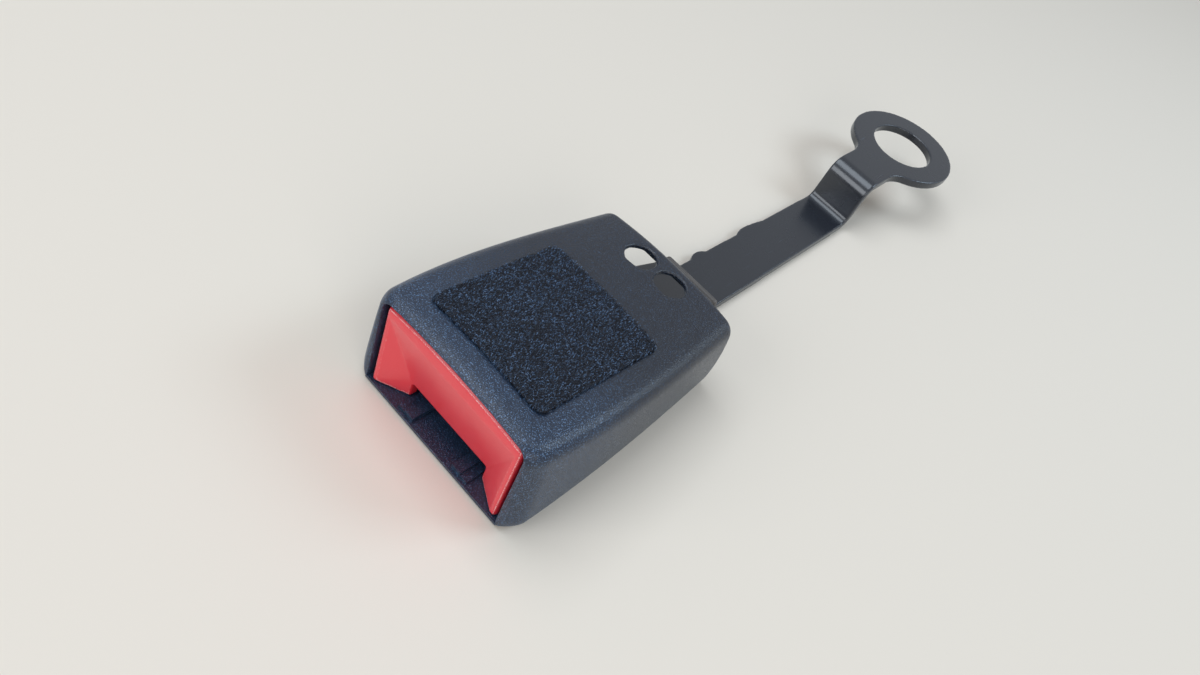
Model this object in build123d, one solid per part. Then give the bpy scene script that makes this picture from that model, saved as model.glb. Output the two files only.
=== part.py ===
from build123d import *
import math
import os

# End-release seat belt buckle on a flat steel anchor strap. Millimetres, +Z up.
# The pieces are drawn with y = 0 at the mouth and the strap running along +Y, and are moved
# on export so that the origin is the centre of the whole part's footprint, on the floor.

# Lengths along the housing: mouth to latch tooth, tooth to pivot, pivot to tail
TOOTH_FRONT = 21.0
TOOTH_LEN = 3.0
LEVER_LEN = 26.0
PIVOT_TO_TAIL = 30.3
TOOTH_REAR = TOOTH_FRONT + TOOTH_LEN
PIVOT_Y = TOOTH_REAR + LEVER_LEN
BODY_LEN = PIVOT_Y + PIVOT_TO_TAIL

# Housing, as the mouth, belly, waist and tail sections of one long moulding
BELLY_Y = 14.0
WAIST_Y = 46.0
MOUTH_HALF_TOP, MOUTH_HALF_LOW, MOUTH_BULGE = 27.2, 29.9, 0.5
BELLY_HALF_TOP, BELLY_HALF_LOW, BELLY_BULGE = 28.7, 29.7, 0.6
WAIST_HALF_TOP, WAIST_HALF_LOW, WAIST_BULGE = 28.2, 28.1, 0.9
TAIL_HALF_TOP, TAIL_HALF_LOW, TAIL_BULGE = 24.7, 25.2, 1.1
MOUTH_HEIGHT = 33.2
TAIL_HEIGHT = 26.9
CROWN = 2.0
TOP_CORNER_R = 4.6
LOW_CORNER_R = 5.0
TAIL_EDGE_R = 2.4
MOUTH_EDGE_R = 0.8
SIDE_WALL = 2.2
TOP_WALL = 1.6
FLOOR_WALL = 1.5
TAIL_WALL = 2.2
UNDER_CUT = 0.05

# Mouth rim and the gaps round the moving pieces
RIM_DEPTH = 3.0
RIM_WALL = 1.5
RIM_HALF = 24.7
RIM_CORNER_R = 2.5
RUN_GAP = 0.3
SEAM_GAP = 0.1
SEAM_RISE = 3.1
SEAM_STEP = 0.7
SEAM_LEN = 38.3
SEAM_START_Y = BODY_LEN - SEAM_LEN
TRAY_HALF_MOUTH, TRAY_HALF_TAIL = 25.2, 20.4

# Snap hooks that hold the two covers together
SNAP_FRONT_Y, SNAP_TO_TAIL = 38.0, 18.3
SNAP_Y = (SNAP_FRONT_Y, BODY_LEN - SNAP_TO_TAIL)
SNAP_LEN, SNAP_THICK, SNAP_TOP = 8.0, 1.5, 10.0
SNAP_BARB, SNAP_BARB_HIGH = 1.0, 1.5
LEDGE_THICK = 1.6

# Round access holes over the strap rivets, and the window in the tail wall
ACCESS_R = 4.7
ACCESS_HALF_PITCH = 5.67
ACCESS_TO_TAIL = 8.6
ACCESS_Y = BODY_LEN - ACCESS_TO_TAIL
WINDOW_HALF = 16.0
WINDOW_TOP = 23.2

# Mouth guide strips
STRIP_IN, STRIP_OUT, STRIP_STEP = 7.6, 10.7, 13.2
STRIP_RISE, STRIP_LOW_RISE = 1.4, 0.7
STRIP_START, STRIP_END = 0.9, 12.0

# Hook tape
TAPE_WIDTH = 38.5
TAPE_LENGTH = 42.0
TAPE_THICK = 1.6
TAPE_Y = 29.8
TAPE_SINK = 0.35
TAPE_CORNER_R = 1.6

# Tongue path
TONGUE_THICK = 2.6
TONGUE_GAP = 0.2
SLOT_HALF = 14.0
SLOT_TOP = 6.6

# Steel channel
SHEET = 2.0
CHANNEL_HALF = 16.5
CHANNEL_START = 13.0
SIDE_PAST_PIVOT, BASE_PAST_RIVETS = 10.0, 4.3
CHANNEL_SIDE_END = PIVOT_Y + SIDE_PAST_PIVOT
CHANNEL_END = ACCESS_Y + BASE_PAST_RIVETS
CHANNEL_HEIGHT = 20.0
SIDE_SET_BACK, SIDE_SLOPE_RUN, SIDE_SLOPE_FALL, SIDE_CORNER = 3.0, 6.0, 8.0, 4.0
BEND_R = 1.5
FIT = 0.05
POST_LEN, POST_THICK, POST_LOW = 5.0, 1.6, 3.0
POST_FRONT_INSET, POST_REAR_INSET = 13.0, 20.0

# Steel strip over the tongue, and the strip across the top of the channel
PLATE_THICK = 1.5
PLATE_SET_BACK, PLATE_END_GAP = 1.0, 0.8
PLATE_TAB_LEN = 4.0
PLATE_TAB_INSETS = (5.0, 15.0)
PLATE_ROOM = 0.4
BRIDGE_LEN, BRIDGE_THICK, BRIDGE_TO_BAR = 10.0, 1.5, 15.0
BRIDGE_TAB_INSET, BRIDGE_TAB_LEN = 2.0, 4.0
STUD_LEN = 1.5

# Latch
PIN_R = 1.5
PIN_TAIL = 1.9
PIN_HEAD = 1.0
PIN_GROOVE, GROOVE_DEPTH, GROOVE_OUT = 0.8, 0.4, 0.1
CLIP_RIM, CLIP_PLAY, CLIP_MOUTH_HALF = 1.2, 0.1, 0.8
LATCH_THICK = 2.5
LATCH_HALF = 9.0
EAR_IN = 6.3
HUB_R = 3.2
EAR_LEN = 5.0
TOOTH_HALF = 5.8
TOOTH_DROP = 0.5
TOOTH_SIDE_ROOM, TOOTH_FRONT_ROOM, TOOTH_REAR_ROOM = 0.6, 1.5, 2.5
PAD_RISE, PAD_LEN = 2.2, 2.5
LATCH_SEAT = 1.0

# Button and lock bar
BUTTON_TRAVEL = 5.0
BUTTON_HALF = 23.9
BUTTON_TOP = 30.75
BUTTON_DEPTH = 13.5
BUTTON_FRONT = 0.5
BUTTON_FALL = 0.107
BUTTON_BEVEL = 1.5
FUNNEL_HALF = 22.4
FUNNEL_TOP = 26.6
FUNNEL_DEPTH = 4.6
BUTTON_WALL = 2.4
ARM_THICK = 3.0
ARM_LOW, ARM_HIGH = 11.0, 20.0
ARM_HOOK = 2.2
SEAT_MARGIN = 0.4
BUTTON_SPRING_RISE = 3.4
BUTTON_SEAT_DEPTH = 11.5
BAR_R = 2.0
BAR_LEVER = 8.0
BAR_CLEAR = 0.4
BAR_OVERHANG = 0.6
BAR_CHAMFER = 0.4

# Ejector
EJECTOR_TRAVEL = 10.0
EJECTOR_TO_TOOTH = 3.5
EJECTOR_FRONT = TOOTH_REAR + EJECTOR_TO_TOOTH
EJECTOR_HALF = 6.0
EJECTOR_BODY_HALF = 4.0
NOSE_LEN, NOSE_DROP = 3.5, 0.1
KEEL_HALF, KEEL_INSET, KEEL_ROOM, KEEL_LIFT = 3.0, 1.5, 0.4, 0.5
EJECTOR_STEP, EJECTOR_LEN = 6.7, 9.5
EJECTOR_STEP_Y = EJECTOR_FRONT + EJECTOR_STEP
EJECTOR_END = EJECTOR_FRONT + EJECTOR_LEN
EJECTOR_PEG = 4.5
EJECT_TAB_HALF, EJECT_TAB_RISE, EJECT_TAB_TO_ROOT = 5.0, 2.6, 6.0

# Springs: outer radius and wire radius
BUTTON_SPRING_R, BUTTON_WIRE_R = 2.2, 0.3
EJECTOR_SPRING_R, EJECTOR_WIRE_R = 1.9, 0.25
LATCH_SPRING_R, LATCH_WIRE_R = 2.6, 0.35
BUTTON_SPRING_TURNS, EJECTOR_SPRING_TURNS, LATCH_SPRING_TURNS = 9, 12, 4
COIL_GAP = 0.1
PEG_LEN = 4.0
SPRING_TAB_TO_BAR, SPRING_TAB_FOOT = 8.0, 6.0
TAB_ROOT, TAB_MARGIN = 1.0, 0.8
EJECT_SPRING_LIFT = 0.5

# Anchor strap and eye
STRAP_THICK = 3.0
STRAP_HALF_ROOT = 8.9
STRAP_HALF = 8.1
ROOT_HALF = 12.0
ROOT_OVERLAP = 8.7
ROOT_START = ACCESS_Y - ROOT_OVERLAP
TAIL_TO_SET, SET_LEN = 0.7, 7.0
SET_START = BODY_LEN + TAIL_TO_SET
SET_END = SET_START + SET_LEN
TAIL_TO_SHOULDER, SHOULDER_LEN = 3.7, 11.0
SHOULDER_START = BODY_LEN + TAIL_TO_SHOULDER
SHOULDER_END = SHOULDER_START + SHOULDER_LEN
TAIL_TO_EYE = 141.1
EYE_Y = BODY_LEN + TAIL_TO_EYE
EYE_R = 20.1
EYE_HOLE_R = 11.6
EYE_NECK_R = 9.0
NECK_LAP = 4.0
CRANK_TO_EYE, CRANK_RUN = 35.2, 2.7
CRANK_TOP_Y = EYE_Y - CRANK_TO_EYE
CRANK_LOW_Y = CRANK_TOP_Y - CRANK_RUN
CRANK_RISE = 15.9
CRANK_R = 4.2
SET_R = 6.0
RIVET_R, RIVET_HEAD_R, RIVET_HEAD, RIVET_EDGE_R = 2.5, 4.2, 1.2, 0.84

# Scallops on the strap's left edge, by their distances past the shoulders and their heights
NEAR_SCALLOP_START, NEAR_SCALLOP_MID, NEAR_SCALLOP_END = 17.5, 21.5, 25.0
NEAR_SCALLOP_RISE = 1.4
FAR_SCALLOP_START, FAR_SCALLOP_LOW, FAR_SCALLOP_PEAK = 42.0, 44.0, 47.0
FAR_SCALLOP_HIGH, FAR_SCALLOP_END = 52.0, 57.0
FAR_SCALLOP_RISE, FAR_SCALLOP_LOW_RISE, FAR_SCALLOP_HIGH_RISE = 1.2, 0.8, 0.85

# Rear boot
TAIL_TO_BOOT_END = 19.2
BOOT_END = BODY_LEN + TAIL_TO_BOOT_END
BOOT_HALF, BOOT_END_HALF = 14.2, 9.9
BOOT_TOP = 9.0
BOOT_LIFT = 0.3
BOOT_EDGE_R = 1.4
BOOT_WALL = 1.6
BOOT_FLANGE_HALF = 17.4
BOOT_FLANGE_TOP = 12.0
BOOT_FLANGE_GAP, BOOT_SHELL_LAP = 0.2, 0.4
BOOT_FIT = 0.15
BOOT_BEAD, BEAD_LAP = 0.7, 0.35

TOTAL_LEN = EYE_Y + EYE_R
SINK = 1.0
FAR = 200.0


# Levels and places worked out from the sizes above
BASE_Z = FLOOR_WALL
BASE_TOP = BASE_Z + SHEET
TONGUE_TOP = BASE_TOP + TONGUE_GAP + TONGUE_THICK
PLATE_Z = TONGUE_TOP + 2 * TONGUE_GAP
LATCH_Z = PLATE_Z + PLATE_THICK + RUN_GAP
LATCH_TOP = LATCH_Z + LATCH_THICK
PIVOT_Z = LATCH_Z + LATCH_THICK / 2
PAD_TOP = LATCH_TOP + PAD_RISE
BAR_Y = PIVOT_Y - BAR_LEVER
BAR_Z = PAD_TOP + BAR_CLEAR + BAR_R
ARM_IN = CHANNEL_HALF + PIN_TAIL + RUN_GAP
ARM_OUT = ARM_IN + ARM_THICK
SIDE_IN = CHANNEL_HALF - SHEET
SPRING_TAB_Y = BAR_Y - SPRING_TAB_TO_BAR
SPRING_TAB_OUT = ARM_OUT
BUTTON_SPRING_X = ARM_IN
BUTTON_SPRING_Z = ARM_HIGH + BUTTON_SPRING_RISE
BUTTON_SEAT_Y = BUTTON_FRONT + BUTTON_SEAT_DEPTH
BRIDGE_Y = BAR_Y - BRIDGE_TO_BAR
BRIDGE_Z = CHANNEL_HEIGHT - BRIDGE_THICK
EJECT_SPRING_Z = BASE_TOP + EJECT_SPRING_LIFT + EJECTOR_SPRING_R
EJECT_TAB_Y = ROOT_START - EJECT_TAB_TO_ROOT


def top_z(y):
    """Height of the housing's crown line at y: a straight fall from the mouth to the tail."""
    return MOUTH_HEIGHT + (TAIL_HEIGHT - MOUTH_HEIGHT) * y / BODY_LEN


def slab(x0, x1, y0, y1, z0, z1):
    """Block between two corners."""
    block = Box(x1 - x0, y1 - y0, z1 - z0)
    return Pos((x0 + x1) / 2, (y0 + y1) / 2, (z0 + z1) / 2) * block


def mid_slab(half, y0, y1, z0, z1):
    """Block that is centred on the width."""
    return slab(-half, half, y0, y1, z0, z1)


def pair(x0, x1, y0, y1, z0, z1):
    """The same block on both sides of the middle."""
    return slab(x0, x1, y0, y1, z0, z1) + slab(-x1, -x0, y0, y1, z0, z1)


def rod(x, y, z, radius, length, direction):
    """Round bar from a point along a direction."""
    return Plane(origin=(x, y, z), z_dir=direction) * Cylinder(
        radius, length, align=(Align.CENTER, Align.CENTER, Align.MIN))


def extrude_up(face, z0, z1):
    """Solid of a plan outline between two heights."""
    return Pos(0, 0, z0) * extrude(face, z1 - z0)


def section(y, half_top, half_low, bulge, inset=0.0, rise=0.0, low=0.0):
    """Closed cross-section of the housing at y, with bulged flanks and a crowned top."""
    top_in, low_in = half_top - inset, half_low - inset
    height = top_z(y) + rise
    edge_z = height - CROWN
    mid = ((top_in + low_in) / 2 + bulge, (low + edge_z) / 2)
    with BuildLine() as outline:
        Line((-low_in, low), (low_in, low))
        ThreePointArc((low_in, low), mid, (top_in, edge_z))
        ThreePointArc((top_in, edge_z), (0, height), (-top_in, edge_z))
        ThreePointArc((-top_in, edge_z), (-mid[0], mid[1]), (-low_in, low))
    face = make_face(outline.edges())
    face = fillet(face.vertices().sort_by(Axis.Y)[2:], TOP_CORNER_R - inset)
    face = fillet(face.vertices().sort_by(Axis.Y)[:2], LOW_CORNER_R - low)
    return front_plane(y) * face


def housing_loft(inset=0.0, rise=0.0, low=0.0):
    """Housing form through its four sections, drawn in by an inset and moved in height."""
    return loft([
        section(0.0, MOUTH_HALF_TOP, MOUTH_HALF_LOW, MOUTH_BULGE, inset, rise, low),
        section(BELLY_Y, BELLY_HALF_TOP, BELLY_HALF_LOW, BELLY_BULGE, inset, rise, low),
        section(WAIST_Y, WAIST_HALF_TOP, WAIST_HALF_LOW, WAIST_BULGE, inset, rise, low),
        section(BODY_LEN, TAIL_HALF_TOP, TAIL_HALF_LOW, TAIL_BULGE, inset, rise, low),
    ])


def housing_solid():
    """Whole outer form of the closed housing, cut flat underneath."""
    body = housing_loft(low=-UNDER_CUT)
    body = fillet(body.faces().sort_by(Axis.Y)[-1].edges(), TAIL_EDGE_R)
    body = fillet(body.faces().sort_by(Axis.Y)[0].edges(), MOUTH_EDGE_R)
    return body & mid_slab(FAR, -SINK, FAR, 0, FAR)


def cavity_solid():
    """Hollow inside the housing, behind the mouth rim."""
    form = housing_loft(SIDE_WALL, -TOP_WALL, FLOOR_WALL)
    return form & mid_slab(FAR, RIM_DEPTH, BODY_LEN - TAIL_WALL, -SINK, FAR)


def rim_face(half, top, corner_r):
    """Front view of the mouth: straight sides and a crowned top with rounded corners."""
    side_top = top - CROWN * (half / MOUTH_HALF_TOP) ** 2
    with BuildLine() as outline:
        Line((-half, FLOOR_WALL), (half, FLOOR_WALL))
        Line((half, FLOOR_WALL), (half, side_top))
        ThreePointArc((half, side_top), (0, top), (-half, side_top))
        Line((-half, side_top), (-half, FLOOR_WALL))
    face = make_face(outline.edges())
    return fillet(face.vertices().sort_by(Axis.Y)[2:], corner_r)


def front_plane(y):
    """Drawing plane that faces the mouth, X to the right and Z up."""
    return Plane(origin=(0, y, 0), x_dir=(1, 0, 0), z_dir=(0, -1, 0))


def mouth_cut():
    """Opening through the rim."""
    face = rim_face(RIM_HALF, MOUTH_HEIGHT - RIM_WALL, RIM_CORNER_R)
    return extrude(front_plane(RIM_DEPTH + SINK) * face, RIM_DEPTH + 2 * SINK)


def tray_zone(gap):
    """Space of the bottom cover: the flat floor, and a wedge that climbs to the tail."""
    front, tail = TRAY_HALF_MOUTH + gap, TRAY_HALF_TAIL + gap
    floor = Polygon((-front, 0), (front, 0), (tail, BODY_LEN), (-tail, BODY_LEN), align=None)
    wedge_side = Plane.YZ * Polygon(
        (SEAM_START_Y - gap, -SINK), (BODY_LEN + SINK, -SINK),
        (BODY_LEN + SINK, SEAM_RISE + gap), (SEAM_START_Y - gap, SEAM_STEP + gap), align=None)
    return extrude_up(floor, -SINK, FLOOR_WALL) + extrude(wedge_side, FAR, both=True)


def tail_window(low):
    """Opening through the tail wall for the strap and the boot."""
    return mid_slab(WINDOW_HALF, BODY_LEN - TAIL_WALL - SINK, BODY_LEN + SINK, low, WINDOW_TOP)


def access_holes(z0, z1):
    """Two round holes in line with the strap rivets."""
    one = rod(ACCESS_HALF_PITCH, ACCESS_Y, z0, ACCESS_R, z1 - z0, (0, 0, 1))
    return one + mirror(one, Plane.YZ)


def snap_x(y):
    """Inner face of a snap hook: just inside the bottom cover's edge at y."""
    edge = TRAY_HALF_MOUTH + (TRAY_HALF_TAIL - TRAY_HALF_MOUTH) * y / BODY_LEN
    return edge - SNAP_THICK - SEAM_GAP


def snap_hooks():
    """Hooks that stand up from the bottom cover, barbs outwards."""
    hooks = []
    for y in SNAP_Y:
        x = snap_x(y)
        stem = pair(x, x + SNAP_THICK, y - SNAP_LEN / 2, y + SNAP_LEN / 2, FLOOR_WALL, SNAP_TOP)
        barb = pair(x + SNAP_THICK, x + SNAP_THICK + SNAP_BARB, y - SNAP_LEN / 2,
                    y + SNAP_LEN / 2, SNAP_TOP - SNAP_BARB_HIGH, SNAP_TOP)
        hooks += [stem, barb]
    return hooks


def snap_ledges():
    """Ledges on the top cover's flanks that the barbs catch on."""
    ledges = []
    ledge_top = SNAP_TOP - SNAP_BARB_HIGH - SEAM_GAP
    for y in SNAP_Y:
        x = snap_x(y) + SNAP_THICK + SEAM_GAP
        ledges.append(pair(x, FAR, y - SNAP_LEN / 2, y + SNAP_LEN / 2,
                           ledge_top - LEDGE_THICK, ledge_top))
    return ledges


def top_cover(outer, cavity):
    """Crowned upper moulding with both flanks, the mouth rim and the tail wall."""
    shell = outer - cavity - mouth_cut() - tray_zone(SEAM_GAP)
    shell = shell - tail_window(-SINK) - access_holes(TAIL_HEIGHT / 2, FAR)
    inside = outer & cavity
    for ledge in snap_ledges():
        shell = shell + (ledge & inside)
    return shell - hook_tape_patch()


def bottom_cover(outer, cavity):
    """Flat tray with the lip, the guide strips, the frame posts and the snap hooks."""
    tray = (outer - cavity - mouth_cut()) & tray_zone(0)
    tray = tray - tail_window(-SINK) - access_holes(-SINK, FLOOR_WALL + SINK)
    for low, high, rise in ((STRIP_IN, STRIP_OUT, STRIP_RISE),
                            (STRIP_OUT, STRIP_STEP, STRIP_LOW_RISE)):
        tray = tray + pair(low, high, STRIP_START, STRIP_END, FLOOR_WALL, FLOOR_WALL + rise)
    post_in = CHANNEL_HALF + RUN_GAP
    for y in (CHANNEL_START + POST_FRONT_INSET, CHANNEL_END - POST_REAR_INSET):
        tray = tray + pair(post_in, post_in + POST_THICK, y, y + POST_LEN, FLOOR_WALL,
                           ARM_LOW - POST_LOW)
    for hook in snap_hooks():
        tray = tray + hook
    return tray


def hook_tape_patch():
    """Hook tape: a rounded rectangle that follows the crown of the cover."""
    plan = Pos(0, TAPE_Y) * RectangleRounded(TAPE_WIDTH, TAPE_LENGTH, TAPE_CORNER_R)
    column = extrude_up(plan, TAIL_HEIGHT / 2, MOUTH_HEIGHT + 2 * TAPE_THICK)
    lower = housing_loft(rise=-TAPE_SINK)
    upper = housing_loft(rise=TAPE_THICK - TAPE_SINK)
    return (column & upper) - lower


def button_block():
    """Outer form of the button's head, a little smaller than the mouth opening."""
    gap = RIM_HALF - BUTTON_HALF
    face = rim_face(BUTTON_HALF, BUTTON_TOP, RIM_CORNER_R - gap)
    fall = math.atan(BUTTON_FALL)
    block = extrude(front_plane(BUTTON_FRONT) * face, BUTTON_DEPTH / math.cos(fall),
                    dir=(0, math.cos(fall), -math.sin(fall)))
    block = block - mid_slab(FAR, -SINK, FAR, -FAR, FLOOR_WALL + RUN_GAP)
    rim = [edge for edge in block.faces().sort_by(Axis.Y)[0].edges()
           if edge.center().Z > FLOOR_WALL + SINK]
    return fillet(rim, BUTTON_BEVEL)


def funnel_cut():
    """Funnel round the tongue slot: a pyramid frustum that narrows going in."""
    low = -SINK
    reach = FUNNEL_DEPTH + SINK
    side_slope = (FUNNEL_HALF - SLOT_HALF) / FUNNEL_DEPTH
    top_slope = (FUNNEL_TOP - SLOT_TOP) / FUNNEL_DEPTH
    front_half = FUNNEL_HALF + side_slope * SINK
    front_top = FUNNEL_TOP + top_slope * SINK
    front = front_plane(BUTTON_FRONT - SINK) * Polygon(
        (-front_half, low), (front_half, low), (front_half, front_top),
        (-front_half, front_top), align=None)
    back = front_plane(BUTTON_FRONT - SINK + reach) * Polygon(
        (-SLOT_HALF, low), (SLOT_HALF, low), (SLOT_HALF, SLOT_TOP),
        (-SLOT_HALF, SLOT_TOP), align=None)
    return loft([front, back])


def release_button():
    """Red button: head, funnel, two arms that hook behind the lock bar."""
    head = button_block() - funnel_cut()
    head = head - mid_slab(SLOT_HALF, -SINK, FAR, -SINK, SLOT_TOP)
    inner_y = BUTTON_FRONT + FUNNEL_DEPTH + BUTTON_WALL
    head = head - mid_slab(BUTTON_HALF - BUTTON_WALL, inner_y, FAR, -SINK,
                           BUTTON_TOP - CROWN - BUTTON_WALL)
    arm_end = BAR_Y + BAR_R + RUN_GAP + ARM_HOOK
    arms = pair(ARM_IN, ARM_OUT, inner_y - SINK, arm_end, ARM_LOW, ARM_HIGH)
    eye_half = BAR_R + RUN_GAP
    arms = arms - pair(ARM_IN - SINK, ARM_OUT + SINK, BAR_Y - eye_half, BAR_Y + eye_half,
                       BAR_Z - eye_half, BAR_Z + eye_half)
    seat = BUTTON_SPRING_R + SEAT_MARGIN
    seats = pair(BUTTON_SPRING_X - seat, BUTTON_SPRING_X + seat, inner_y - SINK, BUTTON_SEAT_Y,
                 BUTTON_SPRING_Z - seat, BUTTON_SPRING_Z + seat)
    peg_r = BUTTON_SPRING_R - 2 * BUTTON_WIRE_R - RUN_GAP
    button = head + arms + seats
    for x in (-BUTTON_SPRING_X, BUTTON_SPRING_X):
        button = button + rod(x, BUTTON_SEAT_Y, BUTTON_SPRING_Z, peg_r, PEG_LEN, (0, 1, 0))
    return button


def latch_frame():
    """Bent steel channel: base, two side walls, spring tabs and the ejector's spring tab."""
    base = mid_slab(CHANNEL_HALF, CHANNEL_START, CHANNEL_END, BASE_Z, BASE_TOP)
    side_start = CHANNEL_START + SIDE_SET_BACK
    side = Plane.YZ * Polygon(
        (side_start, BASE_Z), (CHANNEL_SIDE_END, BASE_Z),
        (CHANNEL_SIDE_END, CHANNEL_HEIGHT - SIDE_CORNER),
        (CHANNEL_SIDE_END - SIDE_CORNER, CHANNEL_HEIGHT),
        (side_start + SIDE_SLOPE_RUN, CHANNEL_HEIGHT),
        (side_start, CHANNEL_HEIGHT - SIDE_SLOPE_FALL), align=None)
    wall = Pos(SIDE_IN, 0, 0) * extrude(side, SHEET)
    frame = base + wall + mirror(wall, Plane.YZ)
    frame = fillet(frame.edges().filter_by(Axis.Y).group_by(Axis.Z)[0], BEND_R)
    tab_high = BUTTON_SPRING_Z + BUTTON_SPRING_R + TAB_MARGIN
    tab_end = SPRING_TAB_Y + SHEET
    frame = frame + pair(SIDE_IN, CHANNEL_HALF, SPRING_TAB_Y, tab_end + SPRING_TAB_FOOT,
                         CHANNEL_HEIGHT - TAB_ROOT, tab_high)
    frame = frame + pair(CHANNEL_HALF, SPRING_TAB_OUT, SPRING_TAB_Y, tab_end,
                         CHANNEL_HEIGHT + RUN_GAP, tab_high)
    frame = frame + mid_slab(EJECT_TAB_HALF, EJECT_TAB_Y, EJECT_TAB_Y + SHEET, BASE_TOP,
                             EJECT_SPRING_Z + EJECT_TAB_RISE)
    peg_r = EJECTOR_SPRING_R - 2 * EJECTOR_WIRE_R - RUN_GAP
    frame = frame + rod(0, EJECT_TAB_Y - PEG_LEN, EJECT_SPRING_Z, peg_r, PEG_LEN, (0, 1, 0))
    keel_start = EJECTOR_FRONT + KEEL_INSET
    cuts = [
        mid_slab(TOOTH_HALF + TOOTH_SIDE_ROOM, TOOTH_FRONT - TOOTH_FRONT_ROOM,
                 TOOTH_REAR + TOOTH_REAR_ROOM, -SINK, BASE_TOP + SINK),
        mid_slab(KEEL_HALF + RUN_GAP, keel_start - KEEL_ROOM,
                 EJECTOR_STEP_Y + EJECTOR_TRAVEL + KEEL_ROOM, -SINK, BASE_TOP + SINK),
        rod(-FAR / 2, PIVOT_Y, PIVOT_Z, PIN_R + FIT, FAR, (1, 0, 0)),
        bar_slots(),
        plate_tabs(FIT),
        bridge_tabs(FIT),
    ]
    for x in (-ACCESS_HALF_PITCH, ACCESS_HALF_PITCH):
        cuts.append(rod(x, ACCESS_Y, 0, RIVET_R, BASE_TOP + SINK, (0, 0, 1)))
    for cut in cuts:
        frame = frame - cut
    return frame


def bar_slots():
    """Slots in the side walls that the lock bar runs in."""
    half = BAR_R + RUN_GAP
    y0, y1 = BAR_Y, BAR_Y + BUTTON_TRAVEL
    return (mid_slab(FAR, y0, y1, BAR_Z - half, BAR_Z + half)
            + rod(-FAR, y0, BAR_Z, half, 2 * FAR, (1, 0, 0))
            + rod(-FAR, y1, BAR_Z, half, 2 * FAR, (1, 0, 0)))


def plate_tabs(gap):
    """Tabs of the tongue guide plate, in the channel's side walls."""
    tabs = [
        pair(SIDE_IN - RUN_GAP, CHANNEL_HALF, CHANNEL_START + inset - gap,
             CHANNEL_START + inset + PLATE_TAB_LEN + gap, PLATE_Z - gap,
             PLATE_Z + PLATE_THICK + gap)
        for inset in PLATE_TAB_INSETS
    ]
    return tabs[0] + tabs[1]


def bridge_tabs(gap):
    """Tabs of the spring bridge, in notches at the top of the side walls."""
    y0 = BRIDGE_Y + BRIDGE_TAB_INSET
    return pair(SIDE_IN - RUN_GAP, CHANNEL_HALF, y0 - gap, y0 + BRIDGE_TAB_LEN + gap,
                BRIDGE_Z - gap, CHANNEL_HEIGHT + gap)


def tongue_guide_plate():
    """Steel strip over the tongue path, with the window that the tooth drops through."""
    plate = mid_slab(SIDE_IN - RUN_GAP, CHANNEL_START + PLATE_SET_BACK,
                     EJECTOR_STEP_Y - PLATE_END_GAP, PLATE_Z, PLATE_Z + PLATE_THICK)
    window = mid_slab(TOOTH_HALF + TOOTH_SIDE_ROOM + PLATE_ROOM,
                      TOOTH_FRONT - TOOTH_FRONT_ROOM - PLATE_ROOM,
                      TOOTH_REAR + TOOTH_REAR_ROOM + PLATE_ROOM, 0, FAR)
    return plate - window + plate_tabs(0)


def spring_bridge():
    """Cross strip that holds the top of the latch spring."""
    plate = mid_slab(SIDE_IN - RUN_GAP, BRIDGE_Y, BRIDGE_Y + BRIDGE_LEN, BRIDGE_Z, CHANNEL_HEIGHT)
    stud = rod(0, BRIDGE_Y + BRIDGE_LEN / 2, BRIDGE_Z - STUD_LEN,
               LATCH_SPRING_R - 2 * LATCH_WIRE_R - RUN_GAP, STUD_LEN, (0, 0, 1))
    return plate + bridge_tabs(0) + stud


def latch_plate():
    """Hinged pawl: tooth, lever, lock pad and two ears on the pivot pin."""
    lever = mid_slab(LATCH_HALF, TOOTH_FRONT, PIVOT_Y - EAR_LEN, LATCH_Z, LATCH_TOP)
    tooth = mid_slab(TOOTH_HALF, TOOTH_FRONT, TOOTH_REAR, BASE_Z + TOOTH_DROP, LATCH_Z)
    pad = mid_slab(LATCH_HALF, BAR_Y - PAD_LEN, BAR_Y, LATCH_TOP, PAD_TOP)
    ears = pair(EAR_IN, LATCH_HALF, PIVOT_Y - EAR_LEN, PIVOT_Y, LATCH_Z, LATCH_TOP)
    hub = rod(EAR_IN, PIVOT_Y, PIVOT_Z, HUB_R, LATCH_HALF - EAR_IN, (1, 0, 0))
    hub = hub + mirror(hub, Plane.YZ)
    seat = rod(0, BRIDGE_Y + BRIDGE_LEN / 2, LATCH_TOP,
               LATCH_SPRING_R - 2 * LATCH_WIRE_R - RUN_GAP, LATCH_SEAT, (0, 0, 1))
    latch = lever + tooth + pad + ears + hub + seat
    return latch - rod(-FAR / 2, PIVOT_Y, PIVOT_Z, PIN_R + FIT, FAR, (1, 0, 0))


def latch_pivot_pin():
    """Headed pin across the channel, with a groove for its clip."""
    end = CHANNEL_HALF + PIN_TAIL
    pin = rod(-CHANNEL_HALF, PIVOT_Y, PIVOT_Z, PIN_R, CHANNEL_HALF + end, (1, 0, 0))
    head = rod(-CHANNEL_HALF - PIN_HEAD, PIVOT_Y, PIVOT_Z, PIN_R + PIN_HEAD, PIN_HEAD, (1, 0, 0))
    groove_x = CHANNEL_HALF + GROOVE_OUT
    groove = (rod(groove_x, PIVOT_Y, PIVOT_Z, PIN_R + SINK, PIN_GROOVE, (1, 0, 0))
              - rod(groove_x, PIVOT_Y, PIVOT_Z, PIN_R - GROOVE_DEPTH, PIN_GROOVE, (1, 0, 0)))
    return pin + head - groove


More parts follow.
